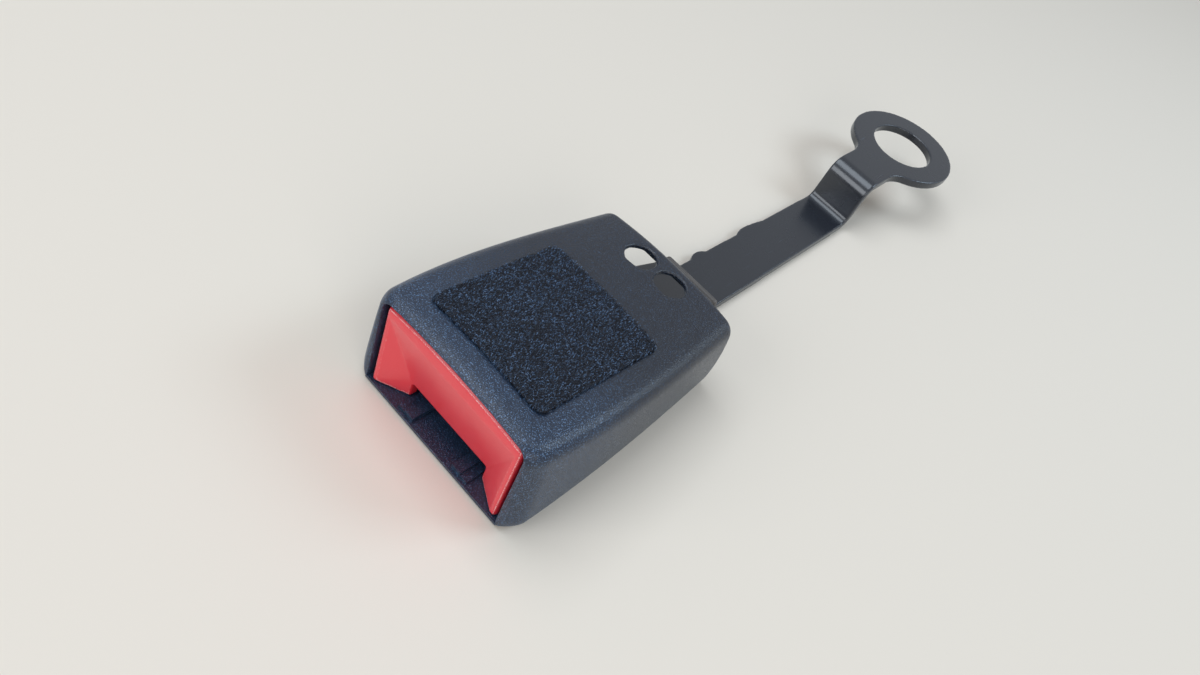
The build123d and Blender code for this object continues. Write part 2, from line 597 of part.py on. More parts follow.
def pivot_pin_clip():
    """Open spring ring in the pin's groove."""
    clip_x = CHANNEL_HALF + GROOVE_OUT + CLIP_PLAY
    thick = PIN_GROOVE - 2 * CLIP_PLAY
    ring = (rod(clip_x, PIVOT_Y, PIVOT_Z, PIN_R + CLIP_RIM, thick, (1, 0, 0))
            - rod(clip_x, PIVOT_Y, PIVOT_Z, PIN_R - GROOVE_DEPTH + FIT, thick, (1, 0, 0)))
    mouth = slab(clip_x - SINK, clip_x + SINK, PIVOT_Y - CLIP_MOUTH_HALF,
                 PIVOT_Y + CLIP_MOUTH_HALF, PIVOT_Z - FAR, PIVOT_Z)
    return ring - mouth


def lock_bar():
    """Round steel bar over the latch, with chamfered ends in the button's arms."""
    half = ARM_OUT + BAR_OVERHANG
    bar = rod(-half, BAR_Y, BAR_Z, BAR_R, 2 * half, (1, 0, 0))
    return chamfer(bar.edges().filter_by(GeomType.CIRCLE), BAR_CHAMFER)


def ejector():
    """Moulded slider: nose at tongue height, keel in the base slot, block for its spring."""
    low = BASE_TOP + RUN_GAP
    high = TONGUE_TOP - NOSE_DROP
    nose = mid_slab(EJECTOR_HALF, EJECTOR_FRONT, EJECTOR_FRONT + NOSE_LEN, low, high)
    body = mid_slab(EJECTOR_BODY_HALF, EJECTOR_FRONT, EJECTOR_END, low, high)
    block = mid_slab(EJECTOR_BODY_HALF, EJECTOR_STEP_Y, EJECTOR_END, low,
                     LATCH_Z - 2 * RUN_GAP)
    keel = mid_slab(KEEL_HALF, EJECTOR_FRONT + KEEL_INSET, EJECTOR_STEP_Y,
                    FLOOR_WALL + KEEL_LIFT, low)
    peg_r = EJECTOR_SPRING_R - 2 * EJECTOR_WIRE_R - RUN_GAP
    peg = rod(0, EJECTOR_END, EJECT_SPRING_Z, peg_r, EJECTOR_PEG, (0, 1, 0))
    return nose + body + block + keel + peg


def coil(outer_r, wire_r, turns, length):
    """Compression spring along +Z from z = 0, one wire radius clear of both seats."""
    mean_r = outer_r - wire_r
    height = length - 2 * wire_r
    path = Helix(pitch=height / turns, height=height, radius=mean_r)
    start = Plane(origin=path @ 0, z_dir=path % 0)
    return Pos(0, 0, wire_r) * sweep(start * Circle(wire_r), path, is_frenet=True)


def coil_along_y(x, y0, y1, z, outer_r, wire_r, turns):
    """Spring laid along +Y between two seats."""
    spring = coil(outer_r, wire_r, turns, y1 - y0 - 2 * COIL_GAP)
    return Plane(origin=(x, y0 + COIL_GAP, z), x_dir=(1, 0, 0), z_dir=(0, 1, 0)) * spring


def latch_spring():
    """Upright spring between the latch and the bridge."""
    spring = coil(LATCH_SPRING_R, LATCH_WIRE_R, LATCH_SPRING_TURNS,
                  BRIDGE_Z - LATCH_TOP - 2 * COIL_GAP)
    return Pos(0, BRIDGE_Y + BRIDGE_LEN / 2, LATCH_TOP + COIL_GAP) * spring


def strap_plan():
    """Plan outline of the strap: wide root, shoulders, scalloped bar and round eye."""
    neck = EYE_Y - EYE_R
    with BuildLine() as outline:
        Line((ROOT_HALF, ROOT_START), (ROOT_HALF, SHOULDER_START))
        Line((ROOT_HALF, SHOULDER_START), (STRAP_HALF_ROOT, SHOULDER_END))
        Line((STRAP_HALF_ROOT, SHOULDER_END), (STRAP_HALF, neck + NECK_LAP))
        Line((STRAP_HALF, neck + NECK_LAP), (-STRAP_HALF, neck + NECK_LAP))
        Line((-STRAP_HALF, neck + NECK_LAP), left_edge(FAR_SCALLOP_END))
        ThreePointArc(left_edge(FAR_SCALLOP_END),
                      left_edge(FAR_SCALLOP_HIGH, FAR_SCALLOP_HIGH_RISE),
                      left_edge(FAR_SCALLOP_PEAK, FAR_SCALLOP_RISE))
        ThreePointArc(left_edge(FAR_SCALLOP_PEAK, FAR_SCALLOP_RISE),
                      left_edge(FAR_SCALLOP_LOW, FAR_SCALLOP_LOW_RISE),
                      left_edge(FAR_SCALLOP_START))
        Line(left_edge(FAR_SCALLOP_START), left_edge(NEAR_SCALLOP_END))
        ThreePointArc(left_edge(NEAR_SCALLOP_END),
                      left_edge(NEAR_SCALLOP_MID, NEAR_SCALLOP_RISE),
                      left_edge(NEAR_SCALLOP_START))
        Line(left_edge(NEAR_SCALLOP_START), left_edge(0))
        Line(left_edge(0), (-ROOT_HALF, SHOULDER_START))
        Line((-ROOT_HALF, SHOULDER_START), (-ROOT_HALF, ROOT_START))
        Line((-ROOT_HALF, ROOT_START), (ROOT_HALF, ROOT_START))
    plan = make_face(outline.edges())
    plan = plan + Pos(0, EYE_Y) * Circle(EYE_R)
    necks = [v for v in plan.vertices() if neck < v.Y < EYE_Y]
    plan = fillet(necks, EYE_NECK_R)
    return plan - Pos(0, EYE_Y) * Circle(EYE_HOLE_R)


def left_edge(along, bump=0.0):
    """Point on the strap's left edge, at a distance past the shoulders and pushed outwards."""
    share = along / (EYE_Y - EYE_R + NECK_LAP - SHOULDER_END)
    half = STRAP_HALF_ROOT + (STRAP_HALF - STRAP_HALF_ROOT) * share
    return (-half - bump, SHOULDER_END + along)


def anchor_strap():
    """Flat bar, set down to the floor behind the housing and cranked up to the eye."""
    inner_z = BASE_TOP + STRAP_THICK / 2
    outer_z = STRAP_THICK / 2
    path = Plane.YZ * FilletPolyline(
        (ROOT_START, inner_z), (SET_START, inner_z), (SET_END, outer_z),
        (CRANK_LOW_Y, outer_z), (CRANK_TOP_Y, outer_z + CRANK_RISE),
        (TOTAL_LEN + SINK, outer_z + CRANK_RISE), radius=[SET_R, SET_R, CRANK_R, CRANK_R])
    ribbon = Plane(origin=path @ 0, x_dir=(1, 0, 0), z_dir=(0, 1, 0)) * Rectangle(
        2 * EYE_R + 2, STRAP_THICK)
    bar = sweep(ribbon, path)
    strap = bar & extrude_up(strap_plan(), -SINK, FAR)
    for x in (-ACCESS_HALF_PITCH, ACCESS_HALF_PITCH):
        strap = strap - rod(x, ACCESS_Y, 0, RIVET_R, FAR, (0, 0, 1))
    return strap


def strap_rivet(x):
    """Round-headed rivet through the channel and the strap."""
    grip = SHEET + STRAP_THICK
    shank = rod(x, ACCESS_Y, BASE_Z, RIVET_R, grip, (0, 0, 1))
    low = rod(x, ACCESS_Y, BASE_Z - RIVET_HEAD, RIVET_HEAD_R, RIVET_HEAD, (0, 0, 1))
    high = rod(x, ACCESS_Y, BASE_Z + grip, RIVET_HEAD_R, RIVET_HEAD, (0, 0, 1))
    low = fillet(low.edges().sort_by(Axis.Z)[0], RIVET_EDGE_R)
    high = fillet(high.edges().sort_by(Axis.Z)[-1], RIVET_EDGE_R)
    return shank + low + high


def boot_plan(shrink, y0, y1):
    """Plan of the boot: parallel, then tapering to the strap."""
    half, end = BOOT_HALF - shrink, BOOT_END_HALF - shrink
    return Polygon((-half, y0), (half, y0), (half, SHOULDER_START), (end, y1), (-end, y1),
                   (-half, SHOULDER_START), align=None)


def rear_boot():
    """Low collar over the strap's root, with a flange inside the tail wall and a beaded rim."""
    flange_y = BODY_LEN - TAIL_WALL - BOOT_FLANGE_GAP - BOOT_WALL
    shell_y = flange_y + BOOT_WALL / 2 + BOOT_SHELL_LAP
    shell = extrude_up(boot_plan(0, shell_y, BOOT_END), BOOT_LIFT, BOOT_TOP)
    shell = fillet(shell.faces().sort_by(Axis.Z)[-1].edges().filter_by(
        lambda e: e.center().Y > shell_y + FIT), BOOT_EDGE_R)
    shell = shell - extrude_up(boot_plan(BOOT_WALL, shell_y - SINK, BOOT_END - BOOT_WALL),
                               -SINK, BOOT_TOP - BOOT_WALL)
    flange = mid_slab(BOOT_FLANGE_HALF, flange_y, flange_y + BOOT_WALL, SEAM_RISE + RUN_GAP,
                      BOOT_FLANGE_TOP)
    flange = flange - mid_slab(ROOT_HALF + BOOT_FIT, 0, FAR, -SINK,
                               BASE_TOP + STRAP_THICK + BOOT_FIT)
    slot = mid_slab(STRAP_HALF_ROOT + BOOT_FIT, SHOULDER_END - SINK, FAR, -SINK,
                    STRAP_THICK + BOOT_FIT)
    return shell + flange + boot_bead() - slot


def boot_bead():
    """Rounded bead round the top and sides of the boot's rear rim."""
    y = BOOT_END - BOOT_BEAD
    radius = BOOT_BEAD + BEAD_LAP
    half = BOOT_END_HALF - BEAD_LAP
    top = BOOT_TOP - BEAD_LAP
    bar = rod(-half, y, top, radius, 2 * half, (1, 0, 0))
    sides = rod(half, y, BOOT_LIFT, radius, top - BOOT_LIFT, (0, 0, 1))
    sides = sides + mirror(sides, Plane.YZ)
    ends = Pos(half, y, top) * Sphere(radius)
    ends = ends + mirror(ends, Plane.YZ)
    return bar + sides + ends


def build():
    """Every piece of the buckle, by node name."""
    outer = housing_solid()
    cavity = cavity_solid()
    spring_args = (SPRING_TAB_Y, BUTTON_SPRING_Z, BUTTON_SPRING_R, BUTTON_WIRE_R,
                   BUTTON_SPRING_TURNS)
    return {
        "top_cover": top_cover(outer, cavity),
        "bottom_cover": bottom_cover(outer, cavity),
        "hook_tape_patch": hook_tape_patch(),
        "release_button": release_button(),
        "button_spring_left": coil_along_y(-BUTTON_SPRING_X, BUTTON_SEAT_Y, *spring_args),
        "button_spring_right": coil_along_y(BUTTON_SPRING_X, BUTTON_SEAT_Y, *spring_args),
        "latch_frame": latch_frame(),
        "tongue_guide_plate": tongue_guide_plate(),
        "spring_bridge": spring_bridge(),
        "latch_plate": latch_plate(),
        "latch_pivot_pin": latch_pivot_pin(),
        "pivot_pin_clip": pivot_pin_clip(),
        "latch_spring": latch_spring(),
        "lock_bar": lock_bar(),
        "ejector": ejector(),
        "ejector_spring": coil_along_y(0, EJECTOR_END, EJECT_TAB_Y, EJECT_SPRING_Z,
                                       EJECTOR_SPRING_R, EJECTOR_WIRE_R, EJECTOR_SPRING_TURNS),
        "anchor_strap": anchor_strap(),
        "strap_rivet_left": strap_rivet(-ACCESS_HALF_PITCH),
        "strap_rivet_right": strap_rivet(ACCESS_HALF_PITCH),
        "rear_boot": rear_boot(),
    }


os.makedirs("parts", exist_ok=True)
for name, solid in build().items():
    export_step(Pos(0, -TOTAL_LEN / 2, 0) * solid, f"parts/{name}.step")
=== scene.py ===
"""Looks of an end-release seat belt buckle on its anchor strap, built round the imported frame."""
import logging
import math
from dataclasses import dataclass, field
from enum import Enum
from typing import Callable, Protocol

import bpy
import numpy as np
from mathutils import Matrix, Vector


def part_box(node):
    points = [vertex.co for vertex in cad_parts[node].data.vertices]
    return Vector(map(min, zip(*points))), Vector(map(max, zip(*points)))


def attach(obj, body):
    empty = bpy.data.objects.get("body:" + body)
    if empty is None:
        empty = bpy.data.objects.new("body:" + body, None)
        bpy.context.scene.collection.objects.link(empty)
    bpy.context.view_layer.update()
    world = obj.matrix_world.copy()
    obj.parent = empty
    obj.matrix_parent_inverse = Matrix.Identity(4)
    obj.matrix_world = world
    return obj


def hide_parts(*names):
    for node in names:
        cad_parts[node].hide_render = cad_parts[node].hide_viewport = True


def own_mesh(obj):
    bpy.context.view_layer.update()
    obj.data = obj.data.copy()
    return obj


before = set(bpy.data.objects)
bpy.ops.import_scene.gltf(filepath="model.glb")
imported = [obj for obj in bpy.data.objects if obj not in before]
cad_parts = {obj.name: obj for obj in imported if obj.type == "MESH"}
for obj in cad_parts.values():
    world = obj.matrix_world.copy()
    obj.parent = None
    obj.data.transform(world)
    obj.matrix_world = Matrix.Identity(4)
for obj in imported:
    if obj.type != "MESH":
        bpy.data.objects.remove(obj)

LOG = logging.getLogger("buckle")
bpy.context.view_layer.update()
MM = 0.001

EDGE = "edge"
SLOPE = "slope"
HOOK_SHADE = "hook_shade"
EDGE_PASSES = 10
WELD_REACH = 0.002 * MM
SHARP_ANGLE = math.radians(32)

Array = np.ndarray
Colour = tuple[float, float, float]
Place = tuple[float, float, float]
Band = tuple[float, float]
Corners = list[tuple[float, float]]


class Body(str, Enum):
    """The moving bodies of the buckle."""

    HOUSING = "housing"
    BUTTON = "button"
    LOCK = "lock"
    LATCH = "latch"
    EJECTOR = "ejector"


class Axis(Enum):
    """Direction of a turned or wound piece: the world axes of its two radii and its length."""

    X = (1, 2, 0)
    Y = (2, 0, 1)
    Z = (0, 1, 2)


# Shader graphs


class Wire:
    """A value or colour in a node tree. Its arithmetic adds Math nodes to the tree."""

    def __init__(self, graph: "Graph", socket: bpy.types.NodeSocket | None) -> None:
        """Keeps the graph and the output socket that carries the value."""
        self.graph = graph
        self.socket = socket

    def _math(self, operation: str, *values: "Wire | float") -> "Wire":
        """Adds one Math node with these values."""
        return self.graph.add("ShaderNodeMath", {"operation": operation}, dict(enumerate(values)))

    def __add__(self, other: "Wire | float") -> "Wire":
        """Sum."""
        return self._math("ADD", self, other)

    def __radd__(self, other: float) -> "Wire":
        """Sum with a number on the left."""
        return self._math("ADD", other, self)

    def __sub__(self, other: "Wire | float") -> "Wire":
        """Difference."""
        return self._math("SUBTRACT", self, other)

    def __rsub__(self, other: float) -> "Wire":
        """Difference from a number on the left."""
        return self._math("SUBTRACT", other, self)

    def __mul__(self, other: "Wire | float") -> "Wire":
        """Product."""
        return self._math("MULTIPLY", self, other)

    def __rmul__(self, other: float) -> "Wire":
        """Product with a number on the left."""
        return self._math("MULTIPLY", other, self)

    def __pow__(self, other: float) -> "Wire":
        """Power."""
        return self._math("POWER", self, other)

    def sine(self) -> "Wire":
        """Sine of an angle in radians."""
        return self._math("SINE", self)

    def at_least(self, other: "Wire") -> "Wire":
        """The larger of two values."""
        return self._math("MAXIMUM", self, other)

    def out(self, name: str) -> "Wire":
        """Another output of the same node."""
        return Wire(self.graph, self.socket.node.outputs[name])


class Graph:
    """A node tree that is filled node by node."""

    def __init__(self, tree: bpy.types.NodeTree) -> None:
        """Keeps and empties the tree."""
        self.tree = tree
        self.tree.nodes.clear()

    def add(self, kind: str, settings: dict, sockets: dict) -> Wire:
        """Adds a node.

        Args:
            kind: the node's type.
            settings: its properties, set first.
            sockets: values or wires by input name or number.

        Returns:
            The node's first enabled output.
        """
        node = self.tree.nodes.new(kind)
        for name, value in settings.items():
            setattr(node, name, value)
        for name, value in sockets.items():
            self.feed(node.inputs[name], value)
        shown = [socket for socket in node.outputs if socket.enabled]
        return Wire(self, shown[0] if shown else None)

    def feed(self, target: bpy.types.NodeSocket, value: "Wire | float | tuple") -> None:
        """Gives an input its value.

        Args:
            target: the input.
            value: a wire, a number, a vector, or a colour without its alpha.
        """
        if isinstance(value, Wire):
            self.tree.links.new(value.socket, target)
        elif target.type == "RGBA":
            target.default_value = (*value, 1.0)
        else:
            target.default_value = value

    def ramp(self, value: Wire, low: float, high: float) -> Wire:
        """Turns a value into a mask: 0 below low, 1 above high."""
        return self.add("ShaderNodeMapRange", {"interpolation_type": "SMOOTHSTEP"}, {
            "Value": value, "From Min": low, "From Max": high})

    def mix(self, mask: Wire, first: Colour | Wire, second: Colour | Wire) -> Wire:
        """Mixes two colours.

        Args:
            mask: 0 for the first colour, 1 for the second.
            first: colour or wire.
            second: colour or wire.

        Returns:
            The mixed colour.
        """
        node = self.add("ShaderNodeMix", {"data_type": "RGBA"}, {"Factor": mask}).socket.node
        for name, value in (("A", first), ("B", second)):
            self.feed(next(s for s in node.inputs if s.name == name and s.type == "RGBA"), value)
        return Wire(self, next(s for s in node.outputs if s.type == "RGBA"))


class SurfaceGraph(Graph):
    """The node tree of one material, round a Principled shader."""

    def __init__(self, name: str) -> None:
        """Makes the material.

        Args:
            name: the material's name.
        """
        self.material = bpy.data.materials.new(name)
        self.material.use_nodes = True
        super().__init__(self.material.node_tree)
        self.output = self.tree.nodes.new("ShaderNodeOutputMaterial")
        self.shader = self.add("ShaderNodeBsdfPrincipled", {}, {})
        self.point = self.add("ShaderNodeTexCoord", {}, {}).out("Object")
        self.show(self.shader)

    def show(self, shader: Wire) -> None:
        """Makes this shader the one that the material shows."""
        self.feed(self.output.inputs["Surface"], shader)

    def coordinate(self, axis: str) -> Wire:
        """Object coordinate along X, Y or Z in metres."""
        return self.add("ShaderNodeSeparateXYZ", {}, {"Vector": self.point}).out(axis)

    def kept(self, name: str) -> Wire:
        """The number that the mesh keeps at each point under this name."""
        return self.add("ShaderNodeAttribute", {"attribute_name": name}, {}).out("Fac")

    def noise(self, size: float, detail: float = 2.0, stretch: Colour = (1, 1, 1)) -> Wire:
        """Noise from 0 to 1.

        Args:
            size: width of one blotch in metres.
            detail: how many finer layers it has.
            stretch: scale of the pattern along each axis.

        Returns:
            The noise value.
        """
        placed = self.add("ShaderNodeMapping", {}, {"Vector": self.point, "Scale": stretch})
        return self.add("ShaderNodeTexNoise", {}, {
            "Vector": placed, "Scale": 1.0 / size, "Detail": detail})

    def cells(self, size: float) -> Wire:
        """Distance to the nearest of a scatter of points, which lie about a size apart."""
        return self.add("ShaderNodeTexVoronoi", {}, {"Vector": self.point, "Scale": 1.0 / size})

    def edge(self, low: float, high: float, patchy: float = 0.5) -> Wire:
        """Mask of outer edges, broken up by a noise, for edge wear and painted edge highlights.

        Args:
            low: edge value at which it starts.
            high: edge value at which it is full.
            patchy: how much the noise adds or takes away.

        Returns:
            The mask.
        """
        rub = (self.noise(1.1 * MM, 4.0) - 0.5) * patchy
        return self.ramp(self.kept(EDGE) + rub, low, high)

    def bump(self, height: Wire, depth: float) -> Wire:
        """Turns a height from 0 to 1 into a normal, where 1 stands for a depth in metres."""
        return self.add("ShaderNodeBump", {}, {"Height": height, "Distance": depth})

    def set(self, **values: "Wire | float | Colour") -> None:
        """Sets the shader's sockets, whose names have _ for a space."""
        for name, value in values.items():
            self.feed(self.shader.socket.node.inputs[name.replace("_", " ")], value)


# Finishes


class Finish(Protocol):
    """Anything that can build its own material."""

    def material(self) -> bpy.types.Material:
        """Builds the material."""


def dimmed(colour: Colour, share: float) -> Colour:
    """A colour at a share of its brightness."""
    return tuple(share * part for part in colour)


@dataclass(frozen=True)
class GrainedMoulding:
    """Matt moulded plastic with a fine spark-eroded grain and pale flecks, which are painted
    glints.

    Towards the mouth it takes a bluer ground and more flecks, a painted reflection, and its pale
    outer edges are a painted edge highlight.
    """

    name: str
    colour: Colour
    glint_fleck: Colour
    mouth_reflection: Colour = (0.008, 0.018, 0.042)
    haze: Colour = (0.42, 0.66, 1.0)
    roughness: float = 0.31
    grain: float = 0.29 * MM
    pit: float = 0.406 * MM
    depth: float = 0.15 * MM
    cloud: float = 18 * MM
    cloud_shift: float = 12 * MM
    mouth_reflection_band: Band = (80 * MM, 124 * MM)
    fleck_band: Band = (0.56, 0.66)
    edge_highlight_band: Band = (0.42, 0.90)
    glints_everywhere: float = 0.24
    glints_at_mouth: float = 0.56

    def material(self) -> bpy.types.Material:
        """Builds the material.

        Returns:
            The material.
        """
        g = SurfaceGraph(self.name)
        fine = g.noise(self.grain, 1.5)
        pits = g.cells(self.pit)
        cloud = g.noise(self.cloud, 3.0)
        # The pale flecks are painted glints of the grain.
        flecks = g.ramp(fine, *self.fleck_band)
        # Towards the mouth the ground turns bluer and the flecks thicken: a painted reflection.
        mouth_reflection_mask = g.ramp(g.coordinate("Y") * -1.0 + cloud * self.cloud_shift, *self.mouth_reflection_band)
        rubbed = g.edge(*self.edge_highlight_band)
        shade = g.mix(cloud, dimmed(self.colour, 0.80), self.colour)
        shade = g.mix(mouth_reflection_mask, shade, self.mouth_reflection)
        density = self.glints_everywhere + mouth_reflection_mask * self.glints_at_mouth
        speckled = g.mix(flecks * density, shade, self.glint_fleck)
        # The pale outer edges are a painted edge highlight.
        g.set(Base_Color=g.mix(rubbed * 0.45, speckled, self.glint_fleck),
              Roughness=self.roughness - flecks * 0.10 + (cloud - 0.5) * 0.10 - rubbed * 0.06,
              Normal=g.bump(fine * 0.6 + pits * 0.4, self.depth),
              Sheen_Weight=0.08, Sheen_Roughness=0.38, Sheen_Tint=self.haze)
        return g.material


@dataclass(frozen=True)
class SatinRed:
    """Smooth satin button plastic: its bevels are a deeper red, which is painted shade, and a pale
    line where they begin is a painted highlight.
    """

    name: str = "button_red"
    colour: Colour = (0.74, 0.045, 0.062)
    rubbed: Colour = (0.92, 0.22, 0.24)
    bevel_shade: Colour = (0.58, 0.008, 0.022)
    glint: Colour = (0.98, 0.62, 0.62)
    roughness: float = 0.22
    bevel_band: Band = (0.50, 0.64)
    ridge_rise: Band = (0.34, 0.46)
    ridge_fall: Band = (0.52, 0.62)

    def material(self) -> bpy.types.Material:
        """Builds the material.

        Returns:
            The material.
        """
        g = SurfaceGraph(self.name)
        fine = g.noise(0.22 * MM, 2.0)
        flow = g.noise(9 * MM, 2.0, (1.0, 1.0, 0.35))
        scuffs = g.ramp(g.noise(1.6 * MM, 5.0, (0.35, 1.0, 1.0)), 0.66, 0.86)
        slope = g.kept(SLOPE)
        # The deeper red on the bevels is painted shade; the pale line on the ridge is a painted
        # highlight.
        bevel = g.ramp(slope, *self.bevel_band)
        ridge = g.ramp(slope, *self.ridge_rise) * (1.0 - g.ramp(slope, *self.ridge_fall))
        pale = ridge * g.edge(0.05, 0.22, 0.30) * g.ramp(fine, 0.42, 0.56)
        face = g.mix(flow * 0.20 + scuffs * 0.08, self.colour, self.rubbed)
        face = g.mix(bevel * 0.75, face, self.bevel_shade)
        g.set(Base_Color=g.mix(pale * 0.75, face, self.glint),
              Roughness=self.roughness + (flow - 0.5) * 0.06 + scuffs * 0.05,
              Normal=g.bump(fine, 0.012 * MM),
              Subsurface_Weight=0.06, Subsurface_Scale=0.8 * MM)
        return g.material


@dataclass(frozen=True)
class PressedSteel:
    """Bare or plated sheet steel with a rolling grain and small stains."""

    name: str
    colour: Colour
    roughness: float = 0.34
    grain: Colour = (1.0, 0.04, 1.0)

    def material(self) -> bpy.types.Material:
        """Builds the material.

        Returns:
            The material.
        """
        g = SurfaceGraph(self.name)
        lines = g.noise(0.16 * MM, 3.0, self.grain)
        stain = g.noise(6 * MM, 4.0)
        stained = g.mix(g.ramp(stain, 0.42, 0.70), self.colour, dimmed(self.colour, 0.62))
        g.set(Base_Color=stained, Metallic=1.0,
              Roughness=self.roughness + (lines - 0.5) * 0.22 + (stain - 0.5) * 0.20,
              Normal=g.bump(lines, 0.008 * MM))
        return g.material


@dataclass(frozen=True)
class CoatedSteel:
    """Dark satin coating on steel, with a fine orange peel, scuffs and dust, and paler outer edges
    that are partly wear and partly a painted edge highlight.
    """

    name: str
    colour: Colour
    wear_and_sheen: Colour
    roughness: float
    coat: Colour = (0.80, 0.90, 1.0)

    def material(self) -> bpy.types.Material:
        """Builds the material.

        Returns:
            The material.
        """
        g = SurfaceGraph(self.name)
        peel = g.noise(0.7 * MM, 2.0)
        dust = g.ramp(g.cells(2.4 * MM), 0.08, 0.03)
        scratch = g.ramp(g.noise(0.9 * MM, 4.0, (1.0, 0.08, 1.0)), 0.66, 0.84)
        cloud = g.noise(12 * MM, 3.0)
        # The paler outer edges are partly wear and partly a painted bluish edge highlight.
        rubbed = g.edge(0.25, 0.80)
        wear_and_sheen = scratch * 0.30 + dust * 0.25 + rubbed * 0.40
        g.set(Base_Color=g.mix(wear_and_sheen, self.colour, self.wear_and_sheen),
              Roughness=self.roughness + (cloud - 0.5) * 0.16 + scratch * 0.10,
              Normal=g.bump(peel, 0.02 * MM), IOR=1.6, Coat_Weight=0.35, Coat_Roughness=0.12,
              Coat_Tint=self.coat)
        return g.material


@dataclass(frozen=True)
class NaturalPlastic:
    """Slightly translucent pale slider plastic."""

    name: str = "slider_acetal"
    colour: Colour = (0.74, 0.73, 0.68)

    def material(self) -> bpy.types.Material:
        """Builds the material.

        Returns:
            The material.
        """
        g = SurfaceGraph(self.name)
        cloud = g.noise(4 * MM, 3.0)
        g.set(Base_Color=g.mix(cloud, self.colour, dimmed(self.colour, 0.88)),
              Roughness=0.38 + (cloud - 0.5) * 0.10,
              Normal=g.bump(g.noise(0.3 * MM, 2.0), 0.01 * MM),
              Subsurface_Weight=0.15, Subsurface_Scale=1 * MM)
        return g.material


@dataclass(frozen=True)
class SoftRubber:
    """Satin boot rubber: dark, with a paler brownish bead at its rear end that is a painted
    reflection of the floor.
    """

    name: str = "boot_rubber"
    colour: Colour = (0.030, 0.030, 0.033)
    floor_reflection: Colour = (0.155, 0.140, 0.130)
    bead: float = 3.7 * MM
    fade: float = 2 * MM

    def material(self) -> bpy.types.Material:
        """Builds the material.

        Returns:
            The material.
        """
        g = SurfaceGraph(self.name)
        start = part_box("rear_boot")[1].y - self.bead
        # The paler brownish bead is a painted reflection of the floor, patchy with a dust noise and
        # brighter on outer edges.
        outside = g.ramp(g.coordinate("Y") - start, 0.0, self.fade)
        dust = g.ramp(g.noise(3 * MM, 5.0), 0.38, 0.75)
        rubbed = g.edge(0.10, 0.60)
        floor_reflection = outside * (0.40 + dust * 0.25 + rubbed * 0.35)
        g.set(Base_Color=g.mix(floor_reflection, self.colour, self.floor_reflection),
              Roughness=0.46 + dust * 0.16, Normal=g.bump(g.noise(0.45 * MM, 2.0), 0.04 * MM))
        return g.material


@dataclass(frozen=True)
class WovenGround:
    """Ground cloth of the hook tape: a plain weave of dark yarns."""

    name: str = "tape_ground"
    colour: Colour = (0.010, 0.013, 0.026)
    yarn: float = 0.42 * MM
    depth: float = 0.12 * MM

    def material(self) -> bpy.types.Material:
        """Builds the material.

        The weave's height is the sine across times the sine along, brought to 0 to 1.

        Returns:
            The material.
        """
        g = SurfaceGraph(self.name)
        turns = 2.0 * math.pi / self.yarn
        across = (g.coordinate("X") * turns).sine()
        along = (g.coordinate("Y") * turns).sine()
        weave = across * along * 0.5 + 0.5
        g.set(Base_Color=g.mix(weave, dimmed(self.colour, 0.5), self.colour),
              Roughness=0.80 - weave * 0.15, Normal=g.bump(weave, self.depth))
        return g.material


@dataclass(frozen=True)
class HookYarn:
    """Monofilament of the hooks: most are nearly black, and a few carry a painted blue glint in
    their colour.
    """

    name: str = "tape_hooks"
    dark: Colour = (0.002, 0.003, 0.008)
    light: Colour = (0.190, 0.310, 0.520)
    rarity: float = 3.0

    def material(self) -> bpy.types.Material:
        """Builds the material.

        Returns:
            The material.
        """
        g = SurfaceGraph(self.name)
        shade = g.kept(HOOK_SHADE)
        g.set(Base_Color=g.mix(shade ** self.rarity, self.dark, self.light),
              Roughness=0.40 - shade * 0.18)
        return g.material


COVER_FINISH = GrainedMoulding("cover_moulding", (0.009, 0.012, 0.021), (0.120, 0.215, 0.370))
# Lighter and bluer than the cover moulding: painted light for the bluish-lit guide strips and lip
# in the mouth.
TRAY_FINISH = GrainedMoulding("tray_moulding", (0.017, 0.030, 0.060), (0.080, 0.150, 0.270))
BUTTON_FINISH = SatinRed()
FRAME_FINISH = PressedSteel("frame_zinc", (0.46, 0.46, 0.47), 0.38)
PLATE_FINISH = PressedSteel("plate_steel", (0.52, 0.52, 0.53), 0.32)
LATCH_FINISH = PressedSteel("latch_hardened", (0.30, 0.30, 0.31), 0.30)
TURNED_FINISH = PressedSteel("turned_steel", (0.58, 0.58, 0.59), 0.24, (0.05, 1.0, 1.0))
WIRE_FINISH = PressedSteel("spring_wire", (0.50, 0.50, 0.52), 0.26, (1.0, 1.0, 1.0))
STRAP_FINISH = CoatedSteel("strap_coating", (0.010, 0.012, 0.018), (0.08, 0.12, 0.19), 0.27)
RIVET_FINISH = CoatedSteel("rivet_coating", (0.060, 0.060, 0.064), (0.20, 0.20, 0.21), 0.30)
SLIDER_FINISH = NaturalPlastic()
BOOT_FINISH = SoftRubber()
GROUND_FINISH = WovenGround()
HOOK_FINISH = HookYarn()


# Meshes


def grid_faces(rows: int, columns: int) -> Array:
    """Quads between neighbouring points of a grid whose last column meets its first.

    Args:
        rows: points in the first direction.
        columns: points in the second direction.

    Returns:
        Point numbers, four to a quad.
    """
    row, column = np.meshgrid(np.arange(rows - 1), np.arange(columns), indexing="ij")
    following = (column + 1) % columns
    corners = [row * columns + column, row * columns + following,
               (row + 1) * columns + following, (row + 1) * columns + column]
    return np.stack(corners, -1).reshape(-1, 4)


